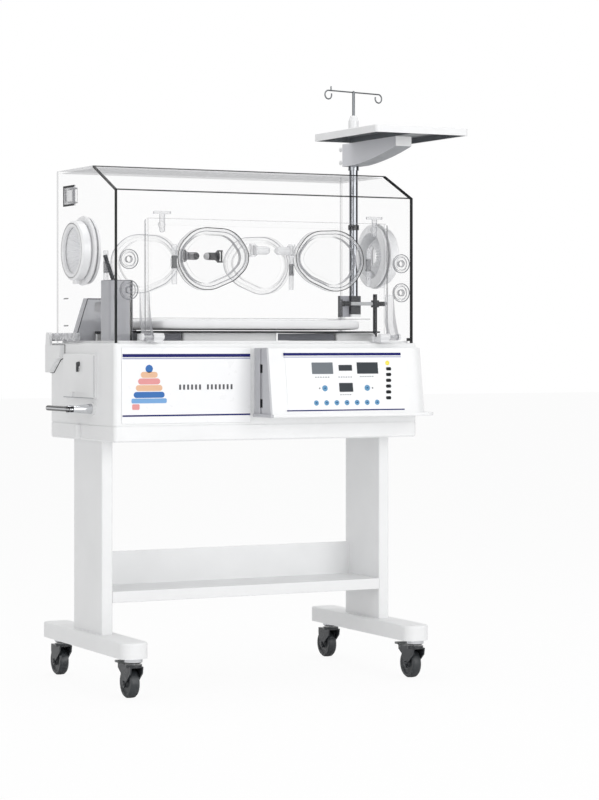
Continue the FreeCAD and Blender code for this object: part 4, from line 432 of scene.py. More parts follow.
silicone = clear("silicone", TONE, ((0.0, 0.03), (0.18, 0.06), (0.5, 0.55), (1.0, 0.95)),
                 [({"X": (-430.0, -424.5), "Y": (50.0, 140.0)}, FAINT, 0.6),
                  ({"X": (-424.5, -412.0), "Y": (72.5, 118.5)}, (0.85, 0.855, 0.86), 0.9)])
SENSOR_BAR = {"X": (-357.5, -347.5), "Y": (-141.0, -139.4)}
duct_grey = clear("duct_grey", (0.48, 0.485, 0.515), ((0.0, 0.74), (1.0, 0.9)), [
    (SENSOR_BAR, INK_BLACK, 1.0),
    ({"Y": (-141.0, -77.0), "Z": (1034.4, 1036.5)}, HOLE_GREY, 0.95),
])
tank_plastic = clear("tank_plastic", (0.8, 0.82, 0.84), ((0.0, 0.7), (1.0, 0.95)))

# The controller's housing is white, with grey flanks, and painted shade makes the catches in the
# left one dark inside

CATCH_SHADE = (0.07, 0.072, 0.08)
CATCH = {"X": (-49.7, -42.5), "Y": (-263.3, -248.7)}
controller_shell = painted("controller_shell", WHITE, 0.34, [
    ({"X": (-51.0, -41.0), "Y": (-318.0, -215.5)}, MIST),
    ({"X": (428.5, 436.0), "Y": (-300.0, -215.5)}, MIST),
    # Painted shade inside the two catches
    ({**CATCH, "Z": (712.7, 735.3)}, CATCH_SHADE),
    ({**CATCH, "Z": (800.7, 823.3)}, CATCH_SHADE),
], grain=0.00006, grain_scale=1500.0)

NODE_MATERIALS = (
    (controller_shell, ("controller_housing",)),
    (powder_coat, ("side_frame_left", "side_frame_right", "storage_shelf",
                   "canopy_hinge_brackets")),
    (moulded_white, ("base_tray", "cabinet_shell", "filter_cover", "chamber_base")),
    (smooth_white, ("iris_flanges", "iris_ring_left", "iris_ring_right")),
    (printed_white, ("front_fascia", "controller_membrane")),
    (tray_white, ("monitor_tray",)),
    (arm_white, ("tray_arm",)),
    (pedal_grey, ("caster_brake_fl", "caster_brake_fr")),
    (dark_plastic, ("caster_fork_fl", "caster_fork_fr", "caster_fork_rl", "caster_fork_rr",
                    "fan_impeller")),
    (black_edge, ("bed_deck",)),
    (tyre_rubber, ("caster_wheel_fl", "caster_wheel_fr", "caster_wheel_rl", "caster_wheel_rr")),
    (chrome, ("caster_plates",)),
    (lever_chrome_painted_reflection, ("tilt_lever",)),
    (hook_wire, ("iv_hook",)),
    (pole_steel, ("pole_tube",)),
    (bracket_grey, ("pole_bracket",)),
    (arm_casting, ("canopy_hinge_arms",)),
    (brushed_steel, ("heater",)),
    (motor_case, ("fan_motor",)),
    (filter_paper, ("air_filter",)),
    (latch_dark, ("filter_knob",)),
    (acrylic_hood, ("canopy",)),
    (acrylic_panel, ("front_panel",)),
    (acrylic_tray, ("bed_tray",)),
    (acrylic_door, ("port_door_front_left", "port_door_front_right")),
    (acrylic_door_rear, ("port_door_rear_left", "port_door_rear_right")),
    (front_rims, ("front_port_rims",)),
    (rear_rims, ("rear_port_rims",)),
    (clear_moulding, ("panel_latch_left", "panel_latch_right")),
    (arm_clear, ("panel_hinge_arms",)),
    (bracket_clear, ("panel_hinge_brackets",)),
    (latch_left, ("port_latch_front_left",)),
    (latch_right, ("port_latch_front_right", "port_latch_rear_left", "port_latch_rear_right")),
    (duct_grey, ("air_duct_covers",)),
    (silicone, ("access_grommets",)),
    (tank_plastic, ("water_tank",)),
)
for material, names in NODE_MATERIALS:
    for name in names:
        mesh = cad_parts[name].data
        mesh.materials.clear()
        mesh.materials.append(material)

# Building pieces


class Plane:
    """A flat face with its own across, up and outward directions."""

    def __init__(self, origin, across, up):
        self.origin = Vector(origin)
        self.across = Vector(across).normalized()
        self.up = Vector(up).normalized()
        self.out = self.across.cross(self.up)

    def point(self, u, v, height=0.0):
        """A point given in millimetres along the face and out from it."""
        return self.origin + (self.across * u + self.up * v + self.out * height) * MM


def finished(name, mesh, material, body):
    """Make a mesh a piece that rides on a body, with the given material."""
    mesh.normal_update()
    bmesh.ops.recalc_face_normals(mesh, faces=mesh.faces[:])
    data = bpy.data.meshes.new(name)
    mesh.to_mesh(data)
    mesh.free()
    data.materials.append(material)
    piece = bpy.data.objects.new(name, data)
    bpy.context.scene.collection.objects.link(piece)
    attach(piece, body)
    return piece


def round_outline(u, v, wide, tall, radius, steps=5):
    """A rectangle with round corners about a middle point."""
    outline = []
    for index, (sx, sy) in enumerate(((1, 1), (-1, 1), (-1, -1), (1, -1))):
        cu = u + sx * (wide / 2 - radius)
        cv = v + sy * (tall / 2 - radius)
        for step in range(steps + 1):
            angle = math.pi / 2 * (index + step / steps)
            outline.append((cu + radius * math.cos(angle), cv + radius * math.sin(angle)))
    return outline


def circle_outline(u, v, radius, steps=28):
    return [(u + radius * math.cos(2 * math.pi * k / steps),
             v + radius * math.sin(2 * math.pi * k / steps)) for k in range(steps)]


def add_plate(mesh, plane, outline, low, high):
    """A thin plate over an outline, between two heights over the plane."""
    under = [mesh.verts.new(plane.point(u, v, low)) for u, v in outline]
    over = [mesh.verts.new(plane.point(u, v, high)) for u, v in outline]
    mesh.faces.new(over)
    mesh.faces.new(list(reversed(under)))
    count = len(outline)
    for k in range(count):
        mesh.faces.new((under[k], under[(k + 1) % count], over[(k + 1) % count], over[k]))


def add_band(mesh, plane, outer, inner, low, high):
    """A thin closed band between two outlines with as many points."""
    rows = [[mesh.verts.new(plane.point(u, v, height)) for u, v in outline]
            for outline, height in ((outer, low), (outer, high), (inner, high), (inner, low))]
    count = len(outer)
    for one, other in zip(rows, rows[1:] + rows[:1]):
        for k in range(count):
            mesh.faces.new((one[k], one[(k + 1) % count], other[(k + 1) % count], other[k]))


def add_turned(mesh, plane, u, v, profile, steps=28):
    """A form turned about the plane's normal: pairs of radius and height, outside to middle."""
    rings = []
    for radius, height in profile:
        rings.append([mesh.verts.new(plane.point(u + radius * math.cos(2 * math.pi * k / steps),
                                                 v + radius * math.sin(2 * math.pi * k / steps),
                                                 height)) for k in range(steps)])
    for outer, inner in zip(rings, rings[1:]):
        for k in range(steps):
            mesh.faces.new((outer[k], outer[(k + 1) % steps], inner[(k + 1) % steps], inner[k]))
    mesh.faces.new(rings[-1])
    mesh.faces.new(list(reversed(rings[0])))


def plates(name, plane, outlines, low, high, material, slot_name, body="root"):
    mesh = bmesh.new()
    for outline in outlines:
        add_plate(mesh, plane, outline, low, high)
    return finished(name, mesh, material, body)


def ink(name, colour):
    return plain(name, colour, 0.35, spread=0.04, tone=0.02, mirror=MATT)


navy_ink = ink("navy_ink", NAVY)
lilac_ink = ink("lilac_ink", (0.4, 0.41, 0.56))
caption_ink = ink("caption_ink", (0.16, 0.17, 0.2))
label_ink = ink("label_ink", (0.1, 0.1, 0.11))
key_blue = ink("key_blue", (0.13, 0.32, 0.52))
key_mark = ink("key_mark", (0.03, 0.07, 0.2))
peach_ink = ink("peach_ink", (0.8, 0.5, 0.33))
pink_ink = ink("pink_ink", (0.78, 0.33, 0.33))
toy_blue = ink("toy_blue", (0.05, 0.17, 0.46))
sky_ink = ink("sky_ink", (0.2, 0.4, 0.7))
lamp_yellow = plain("lamp_yellow", (0.85, 0.72, 0.06), 0.2)
display_grey = plain("display_grey", (0.16, 0.18, 0.2), 0.16, spread=0.05, mirror=MATT)
display_dark = plain("display_dark", (0.03, 0.037, 0.045), 0.14, spread=0.04, mirror=MATT)

INK = 0.25
THIN = 0.4

# The fascia's print

fascia_low, fascia_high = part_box("front_fascia")
fascia = Plane((MIDDLE.x, fascia_low.y, 0.0), (1, 0, 0), (0, 0, 1))
FASCIA_MIDDLE = ((fascia_low.x + fascia_high.x) / 2 - MIDDLE.x) / MM
STRIPE_WIDE = (fascia_high.x - fascia_low.x) / MM - 4.0


def stripe(middle, wide, height, tall):
    return round_outline(middle, height, wide, tall, THIN, 2)


plates("fascia_stripes", fascia, [stripe(FASCIA_MIDDLE, STRIPE_WIDE, 846.0, 8.0),
                                  stripe(FASCIA_MIDDLE, STRIPE_WIDE, 696.0, 4.0)],
       0.0, INK, navy_ink, "fascia_white")
plates("fascia_thin_stripe", fascia, [stripe(FASCIA_MIDDLE, STRIPE_WIDE, 838.5, 3.0)],
       0.0, INK, lilac_ink, "fascia_white")

# A row of short bars in place of words

WORD_LEFT, WORD_RIGHT, WORD_HEIGHT = -259.0, -105.0, 766.5
BARS = 14
WORD_GAP = 6
BAR_PITCH = (WORD_RIGHT - WORD_LEFT) / BARS
plates("fascia_bars", fascia,
       [round_outline(WORD_LEFT + BAR_PITCH * (k + 0.5), WORD_HEIGHT, 5.4, 13.0, 1.2)
        for k in range(BARS) if k != WORD_GAP],
       0.0, INK, label_ink, "fascia_white")

# A toy of stacked rings, a ball and a block

TOY_X = -338.0
for name, ink_used, rings in (
    ("toy_rings_peach", peach_ink, ((798.0, 46.0), (765.0, 72.0))),
    ("toy_rings_pink", pink_ink, ((781.5, 60.0),)),
    ("toy_rings_blue", toy_blue, ((748.0, 84.0),)),
):
    plates(name, fascia,
           [round_outline(TOY_X, height, wide, 15.0, 7.4) for height, wide in rings],
           0.0, INK, ink_used, "fascia_white")
plates("toy_base", fascia, [round_outline(TOY_X, 733.0, 96.0, 12.0, 4.0)],
       0.0, INK, sky_ink, "fascia_white")
plates("toy_ball", fascia, [circle_outline(TOY_X, 813.0, 10.0)],
       0.0, INK, toy_blue, "fascia_white")
plates("toy_block", fascia, [round_outline(TOY_X - 36.0, 718.0, 20.0, 14.0, 3.0)],
       0.0, INK, pink_ink, "fascia_white")

# The controller's face, which leans back

face = Plane(at(0, -310.0, 697.0), (1, 0, 0), at(0, -285.0, 865.0) - at(0, -310.0, 697.0))
OVERLAY = 1.2
PAD = OVERLAY + 0.9
PRINT = (OVERLAY, OVERLAY + INK)
STRIPE_MIDDLE, STRIPE_LONG = 170.5, 341.0

plates("face_stripes", face, [stripe(STRIPE_MIDDLE, STRIPE_LONG, 153.2, 7.0),
                              stripe(STRIPE_MIDDLE, STRIPE_LONG, 9.0, 3.2)],
       *PRINT, navy_ink, "membrane")
plates("face_thin_stripe", face, [stripe(STRIPE_MIDDLE, STRIPE_LONG, 146.0, 2.4)],
       *PRINT, lilac_ink, "membrane")

GLASS = (1.6, 2.1)
WINDOW_INSET = 0.4


def window(u, v, wide, tall):
    """A display's glass over its raised window, given by the window's lower left corner."""
    return round_outline(u + wide / 2, v + tall / 2, wide - WINDOW_INSET, tall - WINDOW_INSET, 1.2)


plates("display_left", face, [window(78.0, 102.0, 61.0, 30.0)], *GLASS, display_grey, "membrane")
plates("display_right", face, [window(208.5, 102.0, 62.0, 30.0), window(155.5, 110.0, 39.0, 15.5),
                               window(153.5, 55.5, 40.0, 23.5)],
       *GLASS, display_dark, "membrane")

KEY_ROW = [(84.6 + 29.4 * k, 28.0) for k in range(7)]
SETTING_KEYS = [(112.0, 65.5), (234.8, 65.5)]
pads = Plane(face.point(0.0, 0.0, PAD), face.across, face.up)
keys = bmesh.new()
key_marks = []
for places, radius in ((KEY_ROW, 6.8), (SETTING_KEYS, 7.8)):
    for u, v in places:
        add_turned(keys, pads, u, v, [(radius, 0.0), (radius, 0.25), (radius - 0.7, 0.6),
                                      (radius * 0.5, 0.75)])
        key_marks.append(round_outline(u, v, 5.2, 3.2, 1.2, 3))
finished("key_caps", keys, key_blue, "root")
plates("key_marks", pads, key_marks, 0.7, 0.85, key_mark, "membrane")
plates("key_dots", face,
       [circle_outline(97.2, 65.6, 2.0, 16), circle_outline(250.7, 65.3, 2.0, 16)],
       *PRINT, label_ink, "membrane")
PILLS = (114.7, 99.8, 84.7, 69.6, 54.5, 39.2)
plates("mode_pills", face,
       [round_outline(302.0 - 1.2 * k, v, 15.0, 8.4, 3.4) for k, v in enumerate(PILLS)],
       OVERLAY, OVERLAY + 0.55, black_edge, "membrane")
lamp = bmesh.new()
add_turned(lamp, face, 299.4, 130.0, [(6.0, OVERLAY), (6.0, OVERLAY + 0.5), (4.6, OVERLAY + 1.3),
                                      (2.0, OVERLAY + 1.7)])
finished("warning_lamp", lamp, lamp_yellow, "root")


def dashes(middle, height, wide, count):
    """Short strokes in place of a printed caption."""
    pitch = wide / count
    return [stripe(middle - wide / 2 + pitch * (k + 0.5), pitch * 0.6, height, 2.0)
            for k in range(count)]


plates("face_captions", face, dashes(106.6, 94.0, 44.0, 6) + dashes(173.0, 94.0, 42.0, 6)
       + dashes(236.0, 95.0, 42.0, 6) + dashes(171.0, 48.5, 34.0, 5),
       *PRINT, caption_ink, "membrane")

# Painted shade: dark sheets inside the catches in the controller's left flank, and a grey one in
# its groove

flank = Plane(at(-50.0, 0.0, 0.0), (0, -1, 0), (0, 0, 1))
plates("flank_catch_shade", flank, [round_outline(256.0, z, 12.5, 20.5, 2.0) for z in (724.0, 812.0)],
       -6.9, -6.5, black_edge, "controller_white")
plates("flank_groove_shade", flank, [round_outline(256.0, 768.0, 3.0, 64.0, 1.4)],
       -1.2, -0.4, pale_edge, "controller_white")

# The hand port doors: a dark line round each ring, and on the front doors a second at its inner
# edge

PORT_X, PORT_Z = 166.5, 1089.0
PORT_CIRCLES = ((32.0, 2.5, 68.0), (16.5, 0.5, 80.0), (-23.0, 7.5, 71.5),
                (-47.5, 5.5, 53.0), (-23.0, 7.5, 71.5), (16.5, 0.5, 80.0))
ARC_STEPS = 12


def port_outline(grow, side):
    """The port's outline about its middle: arcs on the circles and straight lines between."""
    spots = [(x, z, radius + grow) for x, z, radius in PORT_CIRCLES]
    swings = []
    for (x0, z0, r0), (x1, z1, r1) in zip(spots, spots[1:] + spots[:1]):
        span = math.hypot(x1 - x0, z1 - z0)
        swings.append(math.atan2(z1 - z0, x1 - x0) - math.acos((r0 - r1) / span))
    points = []
    for index, (x, z, radius) in enumerate(spots):
        start = swings[index - 1]
        turn = (swings[index] - start) % (2 * math.pi)
        for step in range(ARC_STEPS + 1):
            angle = start + turn * step / ARC_STEPS
            points.append((side * (x + radius * math.cos(angle)), z + radius * math.sin(angle)))
    return points


RING_LINES = {
    "front": (("outer", -1.1, -2.9, black_edge), ("inner", -9.6, -10.9, grey_edge)),
    "rear": (("outer", -1.1, -2.6, pale_edge),),
}
PROUD = 0.35
for side_name, side in (("left", -1.0), ("right", 1.0)):
    for end_name, way, plane in (
        ("front", 1.0, Plane(at(side * PORT_X, DOOR_FRONT, PORT_Z), (1, 0, 0), (0, 0, 1))),
        ("rear", -1.0, Plane(at(side * PORT_X, DOOR_REAR, PORT_Z), (-1, 0, 0), (0, 0, 1))),
    ):
        for line_name, outer, inner, colour in RING_LINES[end_name]:
            ring = bmesh.new()
            add_band(ring, plane, port_outline(outer, side * way), port_outline(inner, side * way),
                     -0.2, PROUD)
            finished(f"door_{line_name}_{end_name}_{side_name}", ring, colour,
                     f"door_{end_name}_{side_name}")

# Two screw heads in the side of the tray's arm

arm_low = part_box("tray_arm")[0]
arm_side = Plane((arm_low.x, MIDDLE.y, 0.0), (0, -1, 0), (0, 0, 1))
screws = bmesh.new()
for height in (1387.0, 1424.0):
    add_turned(screws, arm_side, -280.0, height, [(6.8, -0.3), (6.8, 1.6), (5.6, 3.0), (2.6, 3.6)])
finished("arm_screws", screws, moulded_white, "tray")

# Crescents of shadow round the grommets' flanges

GROMMET_X, GROMMET_FACE = 389.0, -209.0
grommet_rings = bmesh.new()
for side in (-1.0, 1.0):
    for height in (1009.5, 1086.0):
        rim_plane = Plane(at(side * GROMMET_X, GROMMET_FACE, height), (1, 0, 0), (0, 0, 1))
        add_band(grommet_rings, rim_plane, circle_outline(0.0, 0.0, 24.7, 48),
                 circle_outline(-0.6, 0.0, 23.1, 48), -0.1, THIN)
        add_band(grommet_rings, rim_plane, circle_outline(0.0, 0.0, 9.4, 32),
                 circle_outline(0.0, 0.0, 8.4, 32), -0.1, THIN)
finished("grommet_lines", grommet_rings, grey_edge, "canopy")

# The vent's frame, and its shutter, which is opaque

vent = Plane(at(-429.0, 0.0, 0.0), (0, -1, 0), (0, 0, 1))
plates("vent_dark", vent,
       [round_outline(-95.5, 1282.5, 75.0, 5.0, 0.8), round_outline(-95.5, 1234.2, 75.0, 4.4, 0.8),
        round_outline(-130.8, 1258.5, 4.4, 52.0, 0.8)],
       -0.3, THIN, black_edge, "grommet_rubber", "canopy")
plates("vent_grey", vent, [round_outline(-60.2, 1258.5, 4.4, 44.0, 0.8)],
       -0.3, THIN, pale_edge, "grommet_rubber", "canopy")
plates("vent_shutter", vent, [round_outline(-95.5, 1258.5, 44.0, 30.0, 1.5)],
       -3.6, -3.0, smooth_white, "grommet_rubber", "canopy")

# The duct at the back: dark joints round its front, and the sensor probe beside it

duct = Plane(at(0.0, 144.0, 0.0), (1, 0, 0), (0, 0, 1))
duct_lines = bmesh.new()
for (u0, v0), (u1, v1) in (((-390.5, 885.0), (-356.5, 992.5)), ((-255.5, 992.5), (-208.0, 885.0)),
                           ((-356.5, 993.0), (-255.5, 993.0))):
    run = math.hypot(u1 - u0, v1 - v0)
    nu, nv = -(v1 - v0) / run, (u1 - u0) / run
    add_plate(duct_lines, duct, [(u0 + nu, v0 + nv), (u0 - nu, v0 - nv),
                                 (u1 - nu, v1 - nv), (u1 + nu, v1 + nv)], -0.2, THIN)
finished("duct_lines", duct_lines, black_edge, "root")

PROBE_FOOT, PROBE_HEAD = at(-381.0, -90.0, 1034.0), at(-405.0, -90.0, 1100.0)
probe_axis = PROBE_HEAD - PROBE_FOOT
PROBE_LONG = probe_axis.length / MM
probe_plane = Plane(PROBE_FOOT, (0, 1, 0), (-probe_axis.z, 0.0, probe_axis.x))
probe_profile = []
RIBS = 9
for rib in range(RIBS):
    low, high = PROBE_LONG * rib / RIBS, PROBE_LONG * (rib + 1) / RIBS
    probe_profile += [(4.6, low + 0.4), (5.4, low + 1.6), (5.4, high - 1.6), (4.6, high - 0.4)]
probe_profile.append((1.5, PROBE_LONG))
probe = bmesh.new()
add_turned(probe, probe_plane, 0.0, 0.0, probe_profile, 20)
finished("sensor_probe", probe, dark_plastic, "root")

# Inside the chamber: painted shade, dark grey plates over the air openings below the bed, where
# they are seen dark from the front

chamber_front = Plane(at(0.0, -146.0, 0.0), (1, 0, 0), (0, 0, 1))
plates("chamber_shadow", chamber_front,
       [round_outline(-271.5, 892.8, 105.0, 18.0, 1.5),
        round_outline(139.0, 892.8, 166.0, 18.0, 1.5)],
       0.0, THIN, shadow_grey, "chamber_white")

# Painted shadow: a thin line along the filter cover's bottom and front edges, and a thin dark
# plate behind each hinge bracket

filter_low, filter_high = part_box("filter_cover")
cover = Plane((filter_low.x, MIDDLE.y, 0.0), (0, -1, 0), (0, 0, 1))
COVER_FRONT, COVER_REAR = -(filter_low.y - MIDDLE.y) / MM, -(filter_high.y - MIDDLE.y) / MM
COVER_FOOT, COVER_TOP = filter_low.z / MM, filter_high.z / MM
COVER_SHADOW_IN, COVER_SHADOW_WIDE, COVER_SHADOW_SHORT = 1.2, 1.8, 8.0
# Painted shadow below and in front of the filter cover
plates("cover_shadow_line", cover,
       [stripe((COVER_FRONT + COVER_REAR) / 2, COVER_FRONT - COVER_REAR - COVER_SHADOW_SHORT,
               COVER_FOOT + COVER_SHADOW_IN, COVER_SHADOW_WIDE),
        stripe(COVER_FRONT - COVER_SHADOW_IN, COVER_SHADOW_WIDE,
               (COVER_FOOT + COVER_TOP) / 2, COVER_TOP - COVER_FOOT - COVER_SHADOW_SHORT)],
       -0.2, 0.3, pale_edge, "cover_white")
# Painted shadow: a dark plate a little bigger than each hinge bracket, behind it
for side_name, side in (("left", -1.0), ("right", 1.0)):
    wall = Plane(at(side * 432.5, 0.0, 0.0), (0, side, 0), (0, 0, 1))
    bracket_shadow_outline = [(side * y, z) for y, z in ((110.5, 873.0), (215.5, 873.0), (215.5, 798.5),
                                         (187.6, 798.5), (139.4, 832.4), (110.5, 838.5))]
    plates(f"bracket_shadow_{side_name}", wall, [bracket_shadow_outline], 0.0, 1.0, black_edge, "hinge_grey")


def cuff_surface(name):
    """Thin woven cloth with a slight sheen."""
    surface = Surface(name, (0.84, 0.845, 0.86), 0.6)
    surface.worn(14.0, 0.08)
    surface.grained(2200.0, 0.0001, 0.3)
    surface.shader.inputs["Sheen Weight"].default_value = 0.2
    return surface.done(tone=0.04)


cuff_cloth = cuff_surface("cuff_cloth")

# The cuffs of the iris ports: cloth gathered from a wide seam to a narrow elastic

PLEATS = 24
CUFF_ANGLES = PLEATS * 8
CUFF_ROWS = 14
CUFF_SEAM, CUFF_MOUTH = (24.3, 61.5), (-11.0, 27.5)
CUFF_Z = 1113.0
WALL_OUT = 425.0


def ring_points(radius, pleat):
    points = []
    for k in range(CUFF_ANGLES):
        angle = 2 * math.pi * k / CUFF_ANGLES
        reach = radius + pleat * math.cos(PLEATS * angle)
        points.append((reach * math.cos(angle), reach * math.sin(angle)))
    return points


def ring_length(points):
    return sum(math.dist(one, other) for one, other in zip(points, points[1:] + points[:1]))


def gathered(radius, goal):
    """The ring of this radius whose pleats take up the goal's length of cloth."""
    low, high = 0.0, 8.0
    for _ in range(30):
        middle = (low + high) / 2
        if ring_length(ring_points(radius, middle)) < goal:
            low = middle
        else:
            high = middle
    return ring_points(radius, low)


def cuff(name, side):
    around = ring_length(ring_points(CUFF_SEAM[1], 0.0))
    mesh = bmesh.new()
    rows = []
    for row in range(CUFF_ROWS + 1):
        share = row / CUFF_ROWS
        out = CUFF_SEAM[0] + (CUFF_MOUTH[0] - CUFF_SEAM[0]) * share
        radius = CUFF_SEAM[1] + (CUFF_MOUTH[1] - CUFF_SEAM[1]) * share
        rows.append([mesh.verts.new(at(side * (WALL_OUT + out), v, CUFF_Z + w))
                     for v, w in gathered(radius, around)])
    for one, other in zip(rows, rows[1:]):
        for k in range(CUFF_ANGLES):
            after = (k + 1) % CUFF_ANGLES
            mesh.faces.new((one[k], one[after], other[after], other[k]))
    piece = finished(name, mesh, cuff_cloth, "canopy")
    for polygon in piece.data.polygons:
        polygon.use_smooth = True
    thick = piece.modifiers.new("thickness", "SOLIDIFY")
    thick.thickness = 0.5 * MM
    thick.offset = 0.0
    return piece


RING_FACE, RING_BORE = 460.0, 68.0
for side_name, side in (("left", -1.0), ("right", 1.0)):
    ring_line = bmesh.new()
    ring_plane = Plane(at(side * RING_FACE, 0.0, CUFF_Z), (0, side, 0), (0, 0, 1))
    add_band(ring_line, ring_plane, circle_outline(0.0, 0.0, RING_BORE + 2.2, 64),
             circle_outline(0.0, 0.0, RING_BORE + 0.7, 64), -0.2, 0.0)
    finished(f"iris_line_{side_name}", ring_line, grey_edge, f"iris_{side_name}")

cuffs = [cuff("cuff_left", -1.0), cuff("cuff_right", 1.0)]
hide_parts("iris_sleeves")


# The mattress: foam in a coated cover, crowned, and widest at half its height


def cushion_cloth(name):
    """Wipe-clean coated cloth: a fine grain under a soft sheen."""
    surface = Surface(name, (0.93, 0.935, 0.945), 0.52)
    surface.worn(14.0, 0.08)
    surface.grained(1800.0, 0.00015, 0.25)
    surface.shader.inputs["Sheen Weight"].default_value = 0.25
    return surface.done(tone=0.05)


mattress_cloth = cushion_cloth("mattress_cloth")


def swollen(piece, pressure, cap, frames):
    """Blow the piece up a little as cloth over foam, and keep each point near its place."""
    rest = [vertex.co.copy() for vertex in piece.data.vertices]
    cloth = piece.modifiers.new("cloth", "CLOTH")
    cloth.settings.use_pressure = True
    cloth.settings.uniform_pressure_force = pressure
    cloth.settings.effector_weights.gravity = 0.0
    cloth.settings.quality = 6
    cloth.point_cache.frame_start = 1
    cloth.point_cache.frame_end = frames
    scene = bpy.context.scene
    for number in range(1, frames + 1):
        scene.frame_set(number)
    shaped = piece.evaluated_get(bpy.context.evaluated_depsgraph_get())
    moved = [vertex.co.copy() for vertex in shaped.data.vertices]
    piece.modifiers.remove(cloth)
    scene.frame_set(1)
    for vertex, start, end in zip(piece.data.vertices, rest, moved):
        step = end - start
        if step.length > cap:
            step = step.normalized() * cap
        vertex.co = start + step
    piece.data.update()


PAD_INSET, PAD_LOWER, PAD_CROWN = 4.0 * MM, 1.5 * MM, 2.5 * MM
PAD_CUTS = 28
CORNER_PULL, SIDE_PULL = 0.055, 0.012
CLOTH_PRESSURE, CLOTH_CAP, CLOTH_FRAMES = 2.0, 2.0 * MM, 16


def mattress_piece():
    low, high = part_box("mattress")
    mesh = bmesh.new()
    middle = (low + high) / 2
    half = (high - low) / 2 - Vector((PAD_INSET, PAD_INSET, PAD_LOWER))
    bmesh.ops.create_cube(mesh, size=2.0)
    bmesh.ops.subdivide_edges(mesh, edges=mesh.edges[:], cuts=PAD_CUTS, use_grid_fill=True)
    for vertex in mesh.verts:
        x, y, z = vertex.co
        pull = 1.0 - CORNER_PULL * (abs(x) ** 6) * (abs(y) ** 6)
        lift = PAD_CROWN * (1 - x * x) * (1 - y * y) if z > 0.2 else 0.0
        side = 1.0 - SIDE_PULL * (abs(z) ** 3)
        vertex.co = Vector((middle.x + x * half.x * pull * side,
                            middle.y + y * half.y * pull * side,
                            middle.z + z * half.z + lift))
    piece = finished("mattress_pad", mesh, mattress_cloth, "bed")
    swollen(piece, CLOTH_PRESSURE, CLOTH_CAP, CLOTH_FRAMES)
    smooth = piece.modifiers.new("smooth", "SUBSURF")
    smooth.levels = 1
    smooth.render_levels = 1
    for polygon in piece.data.polygons:
        polygon.use_smooth = True
    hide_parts("mattress")


mattress_piece()

# Floor, light and camera

FLOOR_GLOW = 0.92
SKY_LEVEL = 0.6


def stage_floor():
    floor_mesh = bmesh.new()
    bmesh.ops.create_grid(floor_mesh, x_segments=1, y_segments=1, size=30.0)
    data = bpy.data.meshes.new("floor")
    floor_mesh.to_mesh(data)
    floor_mesh.free()
    floor = bpy.data.objects.new("floor", data)
    bpy.context.scene.collection.objects.link(floor)
    material = bpy.data.materials.new("floor")
    material.use_nodes = True
    tree = material.node_tree
    shader = tree.nodes["Principled BSDF"]
    shader.inputs["Base Color"].default_value = (0.93, 0.93, 0.93, 1.0)
    shader.inputs["Roughness"].default_value = 0.9
    path = tree.nodes.new("ShaderNodeLightPath")
    glow = tree.nodes.new("ShaderNodeEmission")
    blend = tree.nodes.new("ShaderNodeMixShader")
    strength = tree.nodes.new("ShaderNodeMath")
    strength.operation = "MULTIPLY"
    strength.inputs[1].default_value = FLOOR_GLOW
    tree.links.new(path.outputs["Is Camera Ray"], strength.inputs[0])
    tree.links.new(strength.outputs[0], blend.inputs["Fac"])
    tree.links.new(shader.outputs[0], blend.inputs[1])
    tree.links.new(glow.outputs[0], blend.inputs[2])
    tree.links.new(blend.outputs[0], tree.nodes["Material Output"].inputs["Surface"])
    data.materials.append(material)


def stage_world():
    world = bpy.data.worlds.new("world")
    bpy.context.scene.world = world
    world.use_nodes = True
    tree = world.node_tree
    light = tree.nodes["Background"]
    light.inputs["Color"].default_value = (1.0, 1.0, 1.0, 1.0)
    light.inputs["Strength"].default_value = SKY_LEVEL
    white = tree.nodes.new("ShaderNodeBackground")
    white.inputs["Color"].default_value = (1.0, 1.0, 1.0, 1.0)
    white.inputs["Strength"].default_value = 1.0
    path = tree.nodes.new("ShaderNodeLightPath")
    seen = None
    for output in ("Is Camera Ray", "Is Glossy Ray", "Is Transmission Ray"):
        if seen is None:
            seen = path.outputs[output]
            continue
        either = tree.nodes.new("ShaderNodeMath")
        either.operation = "MAXIMUM"
        tree.links.new(seen, either.inputs[0])
        tree.links.new(path.outputs[output], either.inputs[1])
        seen = either.outputs[0]
    blend = tree.nodes.new("ShaderNodeMixShader")
    tree.links.new(seen, blend.inputs["Fac"])
    tree.links.new(light.outputs[0], blend.inputs[1])
    tree.links.new(white.outputs[0], blend.inputs[2])
    tree.links.new(blend.outputs[0], tree.nodes["World Output"].inputs["Surface"])


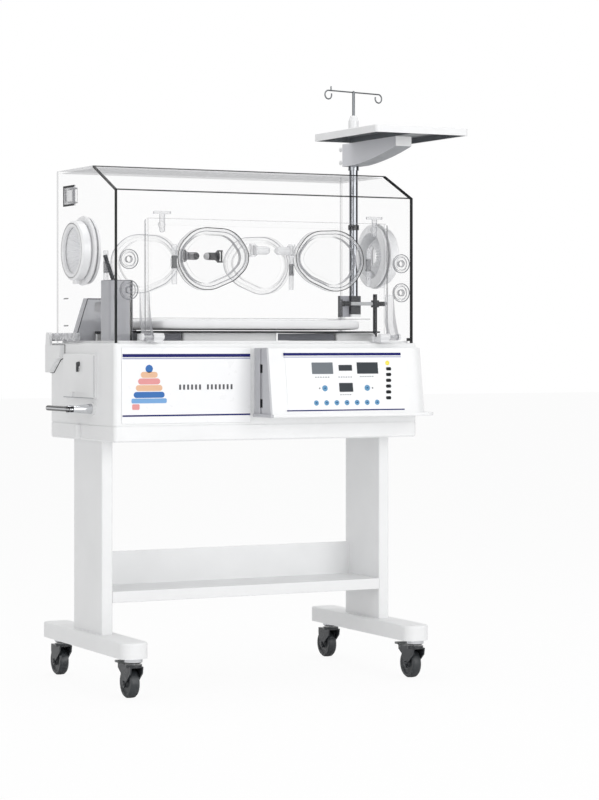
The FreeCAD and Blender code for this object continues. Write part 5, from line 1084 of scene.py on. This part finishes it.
def area_light(name, place, target, size, power):
    data = bpy.data.lights.new(name, "AREA")
    data.shape = "RECTANGLE"
    data.size, data.size_y = size
    data.energy = power
    lamp_object = bpy.data.objects.new(name, data)
    lamp_object.location = place
    aim = Vector(target) - Vector(place)
    lamp_object.rotation_euler = aim.to_track_quat("-Z", "Y").to_euler()
    bpy.context.scene.collection.objects.link(lamp_object)


def dark_card(name, place, wide, tall):
    """A black card that only reflections see, so that steel shows dark edges."""
    card_mesh = bmesh.new()
    plane = Plane(place, Vector((place[1], -place[0], 0.0)), (0, 0, 1))
    corners = [(-wide / 2, 0.0), (wide / 2, 0.0), (wide / 2, tall), (-wide / 2, tall)]
    card_mesh.faces.new([card_mesh.verts.new(plane.point(u / MM, v / MM)) for u, v in corners])
    data = bpy.data.meshes.new(name)
    card_mesh.to_mesh(data)
    card_mesh.free()
    card = bpy.data.objects.new(name, data)
    bpy.context.scene.collection.objects.link(card)
    data.materials.append(ink(f"{name}_black", (0.01, 0.01, 0.01)))
    card.visible_camera = False
    card.visible_diffuse = False
    card.visible_shadow = False
    card.visible_transmission = False


OBJECT_MIDDLE = (0.0, 0.0, 0.85)
stage_floor()
stage_world()
dark_card("card_left", (-2.6, 1.7, 0.0), 2.2, 2.6)
dark_card("card_right", (2.9, -1.0, 0.0), 2.2, 2.6)
area_light("key", (1.3, -5.0, 1.7), OBJECT_MIDDLE, (3.4, 3.0), 88.0)
area_light("fill", (-4.2, -2.2, 1.8), OBJECT_MIDDLE, (2.6, 2.6), 30.0)
area_light("top", (0.2, 0.2, 4.2), OBJECT_MIDDLE, (3.0, 2.4), 45.0)

CAMERA_PLACE = at(-2733.0, -5687.4, 877.0)
CAMERA_YAW = math.radians(-27.237)
FILM_WIDTH, FOCAL_LENGTH, FILM_SHIFT = 36.0, 107.63, -0.0711
camera_data = bpy.data.cameras.new("camera")
camera_data.sensor_width = FILM_WIDTH
camera_data.lens = FOCAL_LENGTH
camera_data.shift_y = FILM_SHIFT
camera = bpy.data.objects.new("camera", camera_data)
camera.location = CAMERA_PLACE
camera.rotation_euler = (math.pi / 2, 0.0, CAMERA_YAW)
bpy.context.scene.collection.objects.link(camera)
bpy.context.scene.camera = camera
bpy.context.scene.view_settings.view_transform = "Standard"
bpy.context.scene.cycles.transparent_max_bounces = 32
